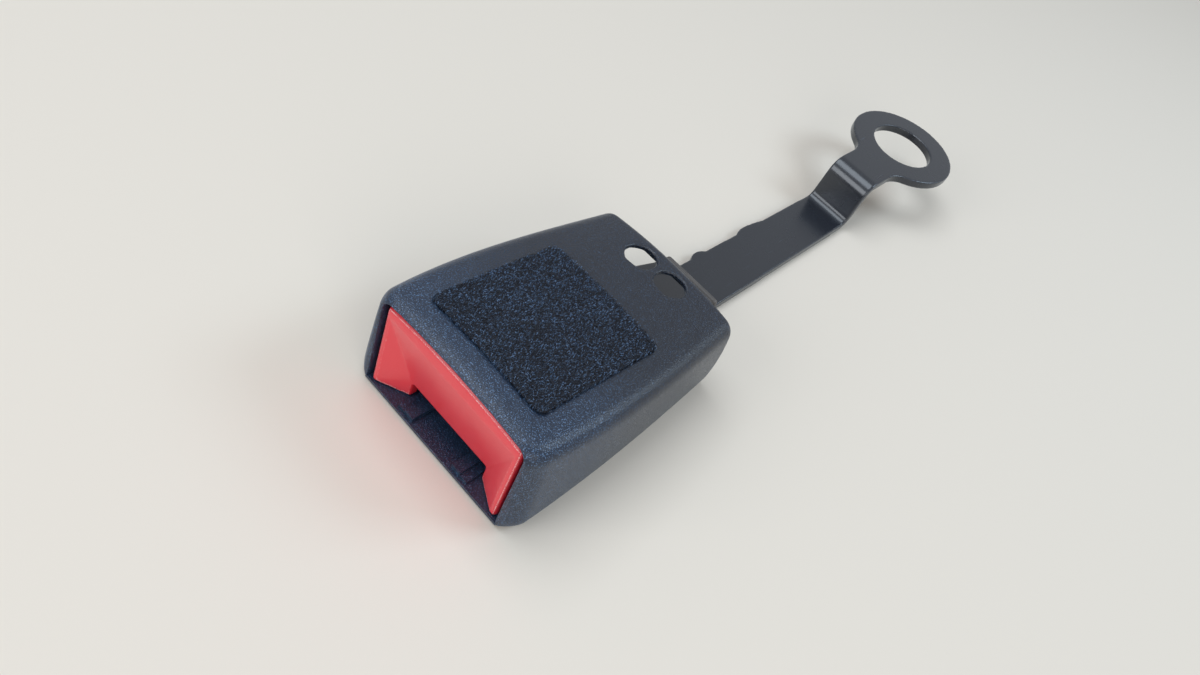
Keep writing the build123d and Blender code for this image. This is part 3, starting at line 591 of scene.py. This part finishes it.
def new_piece(name: str, points: Array, quads: Array, material: bpy.types.Material,
              smooth: bool = True) -> bpy.types.Object:
    """Makes a mesh object from arrays, with its place in its mesh.

    Args:
        name: the piece's name.
        points: its points in metres, three numbers each.
        quads: point numbers, four to a face.
        material: its finish.
        smooth: whether its faces are shaded smooth.

    Returns:
        The object.
    """
    mesh = bpy.data.meshes.new(name)
    mesh.vertices.add(len(points))
    mesh.vertices.foreach_set("co", np.ascontiguousarray(points, np.float32).ravel())
    mesh.loops.add(quads.size)
    mesh.loops.foreach_set("vertex_index", np.ascontiguousarray(quads, np.int32).ravel())
    mesh.polygons.add(len(quads))
    mesh.polygons.foreach_set("loop_start", np.arange(0, quads.size, 4, dtype=np.int32))
    mesh.polygons.foreach_set("use_smooth", np.full(len(quads), smooth))
    mesh.update(calc_edges=True)
    mesh.validate()
    mesh.materials.append(material)
    piece = bpy.data.objects.new(name, mesh)
    bpy.context.scene.collection.objects.link(piece)
    LOG.info("%s: %d points, %d faces", name, len(points), len(quads))
    return piece


def read_rows(items: bpy.types.bpy_prop_collection, name: str, width: int, kind: type) -> Array:
    """Reads one property of all items of a mesh.

    Args:
        items: the mesh's points, edges or normals.
        name: the property.
        width: numbers to an item.
        kind: their type.

    Returns:
        One row for each item.
    """
    values = np.empty(len(items) * width, kind)
    items.foreach_get(name, values)
    return values.reshape(-1, width)


def keep_value(mesh: bpy.types.Mesh, name: str, values: Array) -> None:
    """Keeps one number at each point of a mesh under a name."""
    layer = mesh.attributes.new(name, "FLOAT", "POINT")
    layer.data.foreach_set("value", values.astype(np.float32))


def around(section: tuple[Array, Array], turn: Array, centre: Vector, axis: Axis) -> Array:
    """Carries points round an axis.

    A point at radius r and station s comes to (r cos t, r sin t, s) in the axis' own
    directions.

    Args:
        section: radii and stations of the points, in arrays that fit the turns.
        turn: the angle t of each point.
        centre: the point on the axis that the stations are measured from.
        axis: the axis' direction.

    Returns:
        The points, three numbers each.
    """
    radius, station = section
    local = np.stack(np.broadcast_arrays(radius * np.cos(turn), radius * np.sin(turn), station), -1)
    return local[..., np.argsort(axis.value)].reshape(-1, 3) + np.array(centre)


def soft_profile(corners: Corners, radius: float, steps: int = 4) -> Array:
    """Rounds the corners of a profile.

    Each inner corner becomes a quadratic curve from a point one radius before the corner to
    one a radius after it, with the corner itself as the curve's control point.

    Args:
        corners: (station, radius) points.
        radius: how far from each corner the rounding starts.
        steps: points on each rounding.

    Returns:
        The profile's points.
    """
    p = np.array(corners, float)
    before, at, after = p[:-2], p[1:-1], p[2:]
    into = (before - at) / np.linalg.norm(before - at, axis=1, keepdims=True)
    away = (after - at) / np.linalg.norm(after - at, axis=1, keepdims=True)
    start, end = (at + way * radius for way in (into, away))
    t = np.linspace(0, 1, steps)[None, :, None]
    curve = start[:, None] * (1 - t) ** 2 + 2 * at[:, None] * t * (1 - t) + end[:, None] * t ** 2
    return np.concatenate([p[:1], curve.reshape(-1, 2), p[-1:]])


def relaxed(points: Array, edges: Array, passes: int) -> Array:
    """Smooths a mesh: in each pass every point moves halfway to its neighbours' middle.

    Args:
        points: the mesh's points.
        edges: point numbers, two to an edge.
        passes: how often.

    Returns:
        The new points.
    """
    count = len(points)
    ends = np.concatenate([edges[:, 0], edges[:, 1]])
    others = np.concatenate([edges[:, 1], edges[:, 0]])
    near = np.maximum(np.bincount(ends, minlength=count), 1)
    for _ in range(passes):
        total = np.stack([np.bincount(ends, points[others, k], count) for k in range(3)], -1)
        points = 0.5 * points + 0.5 * total / near[:, None]
    return points


# Pieces on the frame's nodes


def stand_for(piece: bpy.types.Object, node: str, body: Body) -> None:
    """Puts a piece on its body in place of a CAD node, which it hides."""
    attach(piece, body.value)
    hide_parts(node)


def dress(node: str, material: bpy.types.Material, bevel: float = 0.0) -> None:
    """Gives a CAD node its finish, and softens or splits its sharp edges.

    Args:
        node: the node's name.
        material: its finish.
        bevel: width of the rounding on its sharp edges in metres, or 0 to keep them crisp.
    """
    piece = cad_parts[node]
    if piece.material_slots:
        for holder in piece.material_slots:
            holder.material = material
    else:
        piece.data.materials.append(material)
    piece.data.shade_smooth()
    piece.modifiers.new("weld", "WELD").merge_threshold = WELD_REACH
    if bevel:
        edge = piece.modifiers.new("edge", "BEVEL")
        edge.width, edge.segments = bevel, 2
        edge.limit_method, edge.angle_limit = "ANGLE", SHARP_ANGLE
        edge.use_clamp_overlap = True
    split = piece.modifiers.new("split", "EDGE_SPLIT")
    split.split_angle, split.use_edge_sharp = SHARP_ANGLE, False
    LOG.info("%s: dressed in %s", node, material.name)


@dataclass
class Resampled:
    """A node's visual copy with even faces and rounded edges, which knows its edges and slopes."""

    node: str
    body: Body
    slot: str
    finish: Finish
    cell: float
    passes: int
    warp: Callable[[Array], Array] | None = None

    def _even_mesh(self) -> bpy.types.Mesh:
        """Merges a copy of the node's loose triangles and resamples its volume.

        Returns:
            The new mesh.
        """
        copy = bpy.data.objects.new("resampling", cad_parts[self.node].data.copy())
        bpy.context.scene.collection.objects.link(copy)
        copy.modifiers.new("weld", "WELD").merge_threshold = WELD_REACH
        again = copy.modifiers.new("resample", "REMESH")
        again.mode, again.voxel_size, again.use_smooth_shade = "VOXEL", self.cell, True
        graph = bpy.context.evaluated_depsgraph_get()
        mesh = bpy.data.meshes.new_from_object(copy.evaluated_get(graph))
        bpy.data.objects.remove(copy)
        return mesh

    def _mark(self, mesh: bpy.types.Mesh, points: Array, edges: Array) -> None:
        """Keeps the edge and slope values at each point.

        The edge value is the distance along the normal from a point to where further
        smoothing would take it, in cells: positive on outer edges, negative in hollows. The
        slope value is the larger of the normal's upward and sideways parts, so it is small
        on faces that look at the mouth and near 1 on tops and flanks.

        Args:
            mesh: the mesh.
            points: its points.
            edges: its edges.
        """
        normals = read_rows(mesh.vertex_normals, "vector", 3, np.float32)
        settled = relaxed(points, edges, EDGE_PASSES)
        keep_value(mesh, EDGE, np.sum((points - settled) * normals, axis=1) / self.cell)
        keep_value(mesh, SLOPE, np.maximum(normals[:, 2], np.abs(normals[:, 0])))

    def build(self) -> None:
        """Builds the copy in place of its node."""
        mesh = self._even_mesh()
        edges = read_rows(mesh.edges, "vertices", 2, np.int32)
        points = read_rows(mesh.vertices, "co", 3, np.float32).astype(float)
        points = relaxed(points, edges, self.passes)
        if self.warp is not None:
            points = self.warp(points)
        mesh.vertices.foreach_set("co", points.astype(np.float32).ravel())
        mesh.update()
        self._mark(mesh, points, edges)
        mesh.materials.clear()
        mesh.materials.append(self.finish.material())
        mesh.shade_smooth()
        piece = bpy.data.objects.new(self.node + "_visual", mesh)
        bpy.context.scene.collection.objects.link(piece)
        stand_for(piece, self.node, self.body)
        LOG.info("%s: %d faces", piece.name, len(mesh.polygons))


@dataclass(frozen=True)
class MouthRound:
    """Rounds the cover off towards its mouth.

    The mouth's opening is twice half wide and top high, has round corners, and its top edge
    falls with the crown towards both sides.
    """

    reach: float = 5.0 * MM
    share: float = 0.62
    half: float = 24.7 * MM
    top: float = 31.7 * MM
    corner: float = 2.5 * MM
    crown: float = 2.0 * MM
    crown_half: float = 27.2 * MM

    def __call__(self, points: Array) -> Array:
        """Pulls the rim in towards the opening.

        A point at a distance s from the opening and a depth d behind the front moves towards
        the opening by share times s times (1 - d / reach) squared.

        Args:
            points: the cover's points.

        Returns:
            The new points.
        """
        x, y, z = points.T
        level = self.crown * np.clip(np.abs(x) / self.crown_half, 0, 1) ** 2
        reach_x = np.clip(np.abs(x) - (self.half - self.corner), 0, None)
        reach_z = np.clip(z + level - (self.top - self.corner), 0, None)
        far = np.hypot(reach_x, reach_z)
        gap = np.clip(far - self.corner, 0, None)
        depth = np.clip((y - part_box("top_cover")[0].y) / self.reach, 0, 1)
        pull = self.share * gap * (1 - depth) ** 2 / np.maximum(far, 1e-9)
        return np.stack([x - np.sign(x) * pull * reach_x, y, z - pull * reach_z], -1)


@dataclass
class Housing:
    """The two covers."""

    cell: float = 0.48 * MM
    passes: int = 3

    def build(self) -> None:
        """Builds both covers."""
        Resampled("top_cover", Body.HOUSING, "cover", COVER_FINISH, self.cell, self.passes,
                  MouthRound()).build()
        dress("bottom_cover", TRAY_FINISH.material())


@dataclass
class HookTape:
    """Hook tape on the cover: a woven ground with rows of small hooks."""

    ground: float = 0.55 * MM
    ground_edge: float = 0.22 * MM
    bite: float = 0.30 * MM
    corner: float = 2.6 * MM
    corner_steps: int = 12
    overhang: float = 0.05 * MM
    around: int = 480
    rings: int = 30
    ring_power: float = 0.8
    ragged: float = 0.008
    ragged_waves: Band = (5100.0, 1900.0)
    ragged_shift: float = 1.3
    spread: float = 0.45 * MM
    pitch: float = 0.52 * MM
    jitter: float = 0.38
    hook_height: float = 0.92 * MM
    hook_wire: float = 0.072 * MM
    hook_taper: Band = (1.25, 0.7)
    hook_root: float = -0.2 * MM
    hook_sizes: Band = (0.82, 1.12)
    hook_turn: float = 0.55
    hook_lean: float = 0.16
    curl: float = 0.18 * MM
    curl_sink: float = 0.4
    curl_turn: float = math.radians(215)
    curl_rings: int = 5
    sides: int = 3
    seed: int = 8
    fall: float = 6.3 / 80.3
    crown: float = 2.0 * MM
    crown_half: float = 28.4 * MM
    crown_seat: float = 0.06 * MM
    low: Vector = field(default_factory=lambda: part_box("hook_tape_patch")[0])
    high: Vector = field(default_factory=lambda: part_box("hook_tape_patch")[1])

    @property
    def half(self) -> Array:
        """Half of the tape's width and length."""
        return np.array((self.high - self.low) / 2)[:2]

    @property
    def centre(self) -> Array:
        """The middle of the tape in plan."""
        return np.array((self.high + self.low) / 2)[:2]

    def cover_height(self, x: Array, y: Array) -> Array:
        """Height of the cover under the tape.

        The crown line falls evenly from the mouth to the tail, and the cover drops from it
        with the square of the distance from the middle.

        Args:
            x: places across the width.
            y: places along the housing.

        Returns:
            Heights in metres.
        """
        low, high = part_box("top_cover")
        line = high.z + self.crown_seat - self.fall * (y - low.y)
        return line - self.crown * (x / self.crown_half) ** 2

    def outline(self) -> Array:
        """Outline of the ground: a rounded rectangle with a slightly ragged cut.

        The cut is ragged by the product of two sines of the distance along it.

        Returns:
            x and y of each point round it.
        """
        arc = np.linspace(0, np.pi / 2, self.corner_steps)
        quarter = self.corner * np.stack([np.cos(arc), np.sin(arc)], -1)
        quarter = quarter + self.half + self.overhang - self.corner
        flips = ((1, 1, 1), (-1, 1, -1), (-1, -1, 1), (1, -1, -1))
        corners = np.concatenate([quarter[::step] * (fx, fy) for fx, fy, step in flips])
        ring = np.concatenate([corners, corners[:1]])
        run = np.concatenate([[0], np.cumsum(np.linalg.norm(np.diff(ring, axis=0), axis=1))])
        place = np.linspace(0, run[-1], self.around, endpoint=False)
        even = np.stack([np.interp(place, run, ring[:, k]) for k in (0, 1)], -1)
        first, second = self.ragged_waves
        wave = np.sin(place * first) * np.sin(place * second + self.ragged_shift)
        return self.centre + even * (1 + self.ragged * wave)[:, None]

    def ground_piece(self) -> bpy.types.Object:
        """Builds the ground cloth: rings from the middle to the outline, then down the edge.

        Returns:
            The cloth.
        """
        share = np.concatenate([np.linspace(0, 1, self.rings) ** self.ring_power,
                                [1.0, 1.0, 0.0]])
        lift = np.concatenate([np.full(self.rings, self.ground),
                               [self.ground_edge, -self.bite, -self.bite]])
        flat = self.centre + share[:, None, None] * (self.outline() - self.centre)[None]
        x, y = flat[..., 0], flat[..., 1]
        z = self.cover_height(x, y) + lift[:, None]
        points = np.stack([x, y, z], -1).reshape(-1, 3)
        quads = grid_faces(len(share), self.around)
        return new_piece("hook_tape_ground", points, quads, GROUND_FINISH.material())

    def _roots(self, rng: np.random.Generator, offset: float) -> Array:
        """Where hooks stand: a jittered grid inside the tape's rounded outline.

        Args:
            rng: source of the jitter.
            offset: shift of the grid, as a share of the pitch.

        Returns:
            x and y of each hook.
        """
        start = np.array(self.low)[:2] - self.spread + offset * self.pitch
        stop = np.array(self.high)[:2] + self.spread
        xs, ys = (np.arange(start[k], stop[k], self.pitch) for k in (0, 1))
        root = np.stack([g.ravel() for g in np.meshgrid(xs, ys, indexing="ij")], -1)
        root += rng.uniform(-self.jitter, self.jitter, root.shape) * self.pitch
        corner = np.abs(root - self.centre) - (self.half + self.spread - self.corner)
        inside = np.linalg.norm(np.clip(corner, 0, None), axis=1) < self.corner
        return root[inside]

    def _one_hook(self) -> tuple[Array, Array, Array]:
        """Points of one upright hook.

        The hook is a thin three-sided tube along a stem that rises and then turns over on an
        arc of radius curl. A ring lies square to the tube's own direction.

        Returns:
            Places along the tape, upwards and sideways, one row for each ring.
        """
        arc = np.linspace(0, self.curl_turn, self.curl_rings)
        top = self.hook_height - self.curl - self.curl * self.curl_sink
        along = np.concatenate([[0.0], self.curl * (1 - np.cos(arc))])[:, None]
        up = np.concatenate([[self.hook_root], top + self.curl * np.sin(arc)])[:, None]
        forward = np.concatenate([[0.0], np.sin(arc)])[:, None]
        upward = np.concatenate([[1.0], np.cos(arc)])[:, None]
        thick = self.hook_wire * np.linspace(*self.hook_taper, len(along))[:, None]
        side = np.linspace(0, 2 * np.pi, self.sides, endpoint=False)
        return (along - thick * np.cos(side) * upward, up + thick * np.cos(side) * forward,
                thick * np.sin(side) * np.ones_like(along))

    def hook_rows(self, name: str, facing: int, offset: float) -> bpy.types.Object:
        """Builds one set of hooks, each of its own size, lean and turn.

        Args:
            name: the piece's name.
            facing: 1 or -1, the way the hooks turn over along the tape.
            offset: shift of the grid, as a share of the pitch.

        Returns:
            The hooks as one object.
        """
        rng = np.random.default_rng(self.seed + facing)
        root = self._roots(rng, offset)
        count = len(root)
        size = rng.uniform(*self.hook_sizes, count)[:, None, None]
        yaw = rng.normal(0, self.hook_turn, count)[:, None, None] + (0 if facing > 0 else np.pi)
        lean = rng.normal(0, self.hook_lean, count)[:, None, None]
        along, up, aside = (part[None] * size for part in self._one_hook())
        along = along + up * np.sin(lean)
        x = root[:, 0, None, None] + aside * np.cos(yaw) + along * np.sin(yaw)
        y = root[:, 1, None, None] + along * np.cos(yaw) - aside * np.sin(yaw)
        z = self.cover_height(root[:, 0], root[:, 1])[:, None, None] + up
        one = grid_faces(x.shape[1], self.sides)
        each = x.shape[1] * self.sides
        quads = (one[None] + np.arange(count)[:, None, None] * each).reshape(-1, 4)
        points = np.stack([x, y, z], -1).reshape(-1, 3)
        piece = new_piece(name, points, quads, HOOK_FINISH.material())
        keep_value(piece.data, HOOK_SHADE, np.repeat(rng.uniform(0, 1, count), each))
        return piece

    def build(self) -> None:
        """Builds the tape in place of its plain solid."""
        ground = self.ground_piece()
        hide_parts("hook_tape_patch")
        pieces = [ground, self.hook_rows("tape_hooks_forward", 1, 0.0),
                  self.hook_rows("tape_hooks_back", -1, 0.5)]
        for piece in pieces:
            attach(piece, Body.HOUSING.value)


@dataclass
class PressButton:
    """The red button."""

    cell: float = 0.3 * MM
    passes: int = 4

    def build(self) -> None:
        """Builds the button."""
        Resampled("release_button", Body.BUTTON, "button", BUTTON_FINISH, self.cell,
                  self.passes).build()


@dataclass
class Mechanism:
    """The pressed and moulded parts inside the housing."""

    steel_edge: float = 0.25 * MM
    slider_edge: float = 0.2 * MM

    def build(self) -> None:
        """Dresses the frame, plates, latch, ejector and pin clip."""
        dress("latch_frame", FRAME_FINISH.material(), self.steel_edge)
        plate = PLATE_FINISH.material()
        dress("tongue_guide_plate", plate, self.steel_edge)
        dress("spring_bridge", plate, self.steel_edge)
        dress("latch_plate", LATCH_FINISH.material(), self.steel_edge)
        dress("ejector", SLIDER_FINISH.material(), self.slider_edge)
        dress("pivot_pin_clip", WIRE_FINISH.material())


class Profile(Protocol):
    """Section of a turned piece."""

    rounding: float

    def corners(self, length: float, radius: float) -> Corners:
        """Corners of the section as (station, radius), from end to end."""


@dataclass(frozen=True)
class PinProfile:
    """Headed pin with a groove near its far end."""

    head: float = 1.0 * MM
    overhang: float = 1.0 * MM
    groove_from_end: float = 1.8 * MM
    groove_width: float = 0.8 * MM
    groove_depth: float = 0.4 * MM
    rounding: float = 0.12 * MM

    def corners(self, length: float, radius: float) -> Corners:
        """Corners of the pin's section.

        Args:
            length: the pin's length.
            radius: its head's radius.

        Returns:
            The corners.
        """
        shank = radius - self.overhang
        groove = length - self.groove_from_end
        floor = shank - self.groove_depth
        return [(0, 0), (0, radius), (self.head, radius), (self.head, shank), (groove, shank),
                (groove, floor), (groove + self.groove_width, floor),
                (groove + self.groove_width, shank), (length, shank), (length, 0)]


@dataclass(frozen=True)
class BarProfile:
    """Plain bar with chamfered ends."""

    chamfer: float = 0.4 * MM
    rounding: float = 0.15 * MM

    def corners(self, length: float, radius: float) -> Corners:
        """Corners of the bar's section, for its length and radius."""
        c = self.chamfer
        return [(0, 0), (0, radius - c), (c, radius), (length - c, radius), (length, radius - c),
                (length, 0)]


@dataclass(frozen=True)
class RivetProfile:
    """Rivet with a domed head at both ends."""

    head: float = 1.2 * MM
    shank: float = 2.5 * MM
    shoulder: float = 0.54 * MM
    crown_share: float = 0.62
    shoulder_share: float = 0.95
    rounding: float = 0.2 * MM

    def corners(self, length: float, radius: float) -> Corners:
        """Corners of the rivet's section: half of it, then the same from the other end.

        Args:
            length: the rivet's length.
            radius: its heads' radius.

        Returns:
            The corners.
        """
        half = [(0, 0), (0, radius * self.crown_share),
                (self.shoulder, radius * self.shoulder_share), (self.head, radius),
                (self.head, self.shank)]
        return half + [(length - station, out) for station, out in reversed(half)]


@dataclass
class TurnedPart:
    """A turned steel piece that stands for a node: its profile is carried round its axis."""

    node: str
    body: Body
    slot: str
    axis: Axis
    finish: Finish
    profile: Profile
    sides: int = 48

    def build(self) -> None:
        """Builds the piece from its node's box."""
        low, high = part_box(self.node)
        along, across = self.axis.value[2], self.axis.value[0]
        centre = (low + high) / 2
        centre[along] = low[along]
        corners = self.profile.corners(high[along] - low[along], (high[across] - low[across]) / 2)
        curve = soft_profile(corners, self.profile.rounding)
        turn = np.linspace(0, 2 * np.pi, self.sides, endpoint=False)
        points = around((curve[:, 1:], curve[:, :1]), turn, centre, self.axis)
        quads = grid_faces(len(curve), self.sides)
        piece = new_piece(self.node + "_turned", points, quads, self.finish.material())
        stand_for(piece, self.node, self.body)


@dataclass
class TurnedParts:
    """Pin, lock bar and rivets."""

    def build(self) -> None:
        """Builds the turned parts."""
        TurnedPart("latch_pivot_pin", Body.HOUSING, "pin_steel", Axis.X, TURNED_FINISH,
                   PinProfile()).build()
        TurnedPart("lock_bar", Body.LOCK, "pin_steel", Axis.X, TURNED_FINISH,
                   BarProfile()).build()
        for side in ("left", "right"):
            TurnedPart("strap_rivet_" + side, Body.HOUSING, "rivet_steel", Axis.Z, RIVET_FINISH,
                       RivetProfile()).build()


@dataclass
class CoilSpring:
    """A compression spring with closed ends, wound between the ends of its node's box.
    """

    node: str
    axis: Axis
    wire: float
    turns: int
    joint: str
    travel: float
    round_steps: int = 26
    sides: int = 10
    closed: float = 1.0
    closed_pitch: float = 2.05
    point_rings: int = 3

    def _heights(self, t: Array, length: float) -> Array:
        """Height of the wire's middle.

        The closed turns at both ends rise by closed_pitch wire radii a turn, and the turns
        between them share what is left.

        Args:
            t: share of the wire's run, from 0 to 1.
            length: the rise of the whole run.

        Returns:
            The heights.
        """
        ends = self.closed / self.turns
        rise = self.wire * self.closed_pitch * self.closed
        return np.interp(t, [0, ends, 1 - ends, 1], [0, rise, length - rise, length])

    def _points(self, low: Vector, high: Vector) -> Array:
        """Points of the wire.

        Its middle runs on a helix, and each ring is a circle in the plane of the radius and
        the axis. The last rings shrink as a ball's sections do, to a point at both ends.

        Args:
            low: low corner of the node's box.
            high: high corner.

        Returns:
            The points, ring by ring.
        """
        along, across = self.axis.value[2], self.axis.value[0]
        mean = (high[across] - low[across]) / 2 - self.wire
        count = self.round_steps * self.turns
        t = np.linspace(0, 1, count)[:, None]
        height = self._heights(t, high[along] - low[along] - 2 * self.wire)
        side = np.linspace(0, 2 * np.pi, self.sides, endpoint=False)
        from_end = np.minimum(t, 1 - t) * count / self.point_rings
        thick = self.wire * np.sqrt(1 - np.clip(1 - from_end, 0, 1) ** 2)
        section = (mean + thick * np.cos(side), self.wire + height + thick * np.sin(side))
        centre = (low + high) / 2
        centre[along] = low[along]
        return around(section, 2 * np.pi * self.turns * t, centre, self.axis)

    def build(self) -> None:
        """Builds the spring in place of its node, with a mesh of its own."""
        low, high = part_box(self.node)
        points = self._points(low, high)
        quads = grid_faces(len(points) // self.sides, self.sides)[:, ::-1]
        piece = new_piece(self.node + "_wound", points, quads, WIRE_FINISH.material())
        stand_for(piece, self.node, Body.HOUSING)
        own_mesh(piece)


@dataclass
class Springs:
    """The four springs: the radius of each one's wire, its turns and how far it is pressed."""

    button_wire: float = 0.3 * MM
    button_turns: int = 10
    button_travel: float = 5 * MM
    ejector_wire: float = 0.25 * MM
    ejector_turns: int = 13
    ejector_travel: float = 10 * MM
    latch_wire: float = 0.32 * MM
    latch_turns: int = 5
    latch_travel: float = 4.35 * MM

    def build(self) -> None:
        """Builds the springs."""
        for side in ("left", "right"):
            CoilSpring("button_spring_" + side, Axis.Y, self.button_wire, self.button_turns,
                       "button_slide", self.button_travel).build()
        CoilSpring("ejector_spring", Axis.Y, self.ejector_wire, self.ejector_turns,
                   "ejector_slide", self.ejector_travel).build()
        CoilSpring("latch_spring", Axis.Z, self.latch_wire, self.latch_turns,
                   "latch_hinge", self.latch_travel).build()


@dataclass
class AnchorStrap:
    """The steel strap with its raised bolt eye."""

    cell: float = 0.32 * MM
    passes: int = 5

    def build(self) -> None:
        """Builds the strap."""
        Resampled("anchor_strap", Body.HOUSING, "strap_steel", STRAP_FINISH, self.cell,
                  self.passes).build()


@dataclass
class RearBoot:
    """The collar where the strap leaves the housing."""

    cell: float = 0.2 * MM
    passes: int = 3

    def build(self) -> None:
        """Builds the boot."""
        Resampled("rear_boot", Body.HOUSING, "boot", BOOT_FINISH, self.cell, self.passes).build()


# Stage


@dataclass(frozen=True)
class Softbox:
    """A square softbox that faces the buckle, with its place and side in metres."""

    name: str
    place: Place
    side: float
    watts: float
    colour: Colour
    target: Place = (0.0, -0.04, 0.01)

    def build(self) -> None:
        """Builds the lamp."""
        lamp = bpy.data.lights.new(self.name, "AREA")
        lamp.size, lamp.energy, lamp.color = self.side, self.watts, self.colour
        holder = bpy.data.objects.new(self.name, lamp)
        holder.location = self.place
        beam = Vector(self.target) - Vector(self.place)
        holder.rotation_euler = beam.to_track_quat("-Z", "Y").to_euler()
        bpy.context.scene.collection.objects.link(holder)


@dataclass
class Studio:
    """Floor, soft lights and the camera at the photograph's viewing angle."""

    floor: Colour = (0.78, 0.715, 0.63)
    floor_half: float = 1.6
    floor_z: float = -0.02 * MM
    room: Colour = (0.95, 0.97, 1.0)
    room_light: float = 0.30
    room_seen: float = 0.60
    eye: Place = (77.31 * MM, -226.65 * MM, 196.23 * MM)
    aim: Place = (3.62 * MM, -69.15 * MM, 15.0 * MM)
    roll: float = math.radians(26.75)
    lens: float = 28.61
    sensor: float = 36.0
    near: float = 0.01
    far: float = 20.0
    lamps: tuple[Softbox, ...] = (
        Softbox("key", (0.55, -0.45, 0.34), 0.40, 1.3, (1.0, 0.985, 0.97)),
        Softbox("sky", (-0.30, -0.10, 0.85), 0.60, 3.7, (0.84, 0.92, 1.0)),
        Softbox("edge", (0.44, 0.46, 0.62), 0.36, 2.5, (0.70, 0.86, 1.0)),
        Softbox("window", (-0.25, -0.90, 0.42), 0.56, 3.3, (0.93, 0.96, 1.0)))

    def build(self) -> None:
        """Builds the stage, lights and camera."""
        self._floor()
        self._world()
        for lamp in self.lamps:
            lamp.build()
        self._camera()
        bpy.context.scene.view_settings.view_transform = "Standard"

    def _floor(self) -> None:
        """Plain pale floor that keeps the object's shadow, clear when seen from below."""
        g = SurfaceGraph("floor_pale")
        g.set(Base_Color=self.floor, Roughness=0.9)
        below = g.add("ShaderNodeNewGeometry", {}, {}).out("Backfacing")
        clear = g.add("ShaderNodeBsdfTransparent", {}, {})
        g.show(g.add("ShaderNodeMixShader", {}, {0: below, 1: g.shader, 2: clear}))
        h, z = self.floor_half, self.floor_z
        points = np.array([(-h, -h, z), (h, -h, z), (h, h, z), (-h, h, z)])
        new_piece("floor", points, np.array([[0, 1, 2, 3]]), g.material, False)

    def _world(self) -> None:
        """Even light from all round; cameras and reflections see a paler room."""
        world = bpy.data.worlds.new("room")
        world.use_nodes = True
        g = Graph(world.node_tree)
        path = g.add("ShaderNodeLightPath", {}, {})
        seen = path.out("Is Camera Ray").at_least(path.out("Is Transmission Ray"))
        seen = seen.at_least(path.out("Is Glossy Ray"))
        level = seen * (self.room_seen - self.room_light) + self.room_light
        back = g.add("ShaderNodeBackground", {}, {"Color": self.room, "Strength": level})
        g.add("ShaderNodeOutputWorld", {}, {"Surface": back})
        bpy.context.scene.world = world

    def _camera(self) -> None:
        """Camera as fitted to the photograph: it looks from eye to aim and is then rolled."""
        data = bpy.data.cameras.new("camera")
        data.lens, data.sensor_width = self.lens, self.sensor
        data.clip_start, data.clip_end = self.near, self.far
        camera = bpy.data.objects.new("camera", data)
        look = (Vector(self.aim) - Vector(self.eye)).to_track_quat("-Z", "Y").to_matrix()
        turn = (look @ Matrix.Rotation(self.roll, 3, "Z")).to_4x4()
        camera.matrix_world = Matrix.Translation(Vector(self.eye)) @ turn
        bpy.context.scene.collection.objects.link(camera)
        bpy.context.scene.camera = camera


def main() -> None:
    """Builds the buckle's looks, part by part."""
    logging.basicConfig(level=logging.INFO, format="%(name)s %(message)s")
    parts = (Studio(), Housing(), HookTape(), PressButton(), Mechanism(), TurnedParts(),
             Springs(), AnchorStrap(), RearBoot())
    for part in parts:
        part.build()


if __name__ == "__main__":
    main()
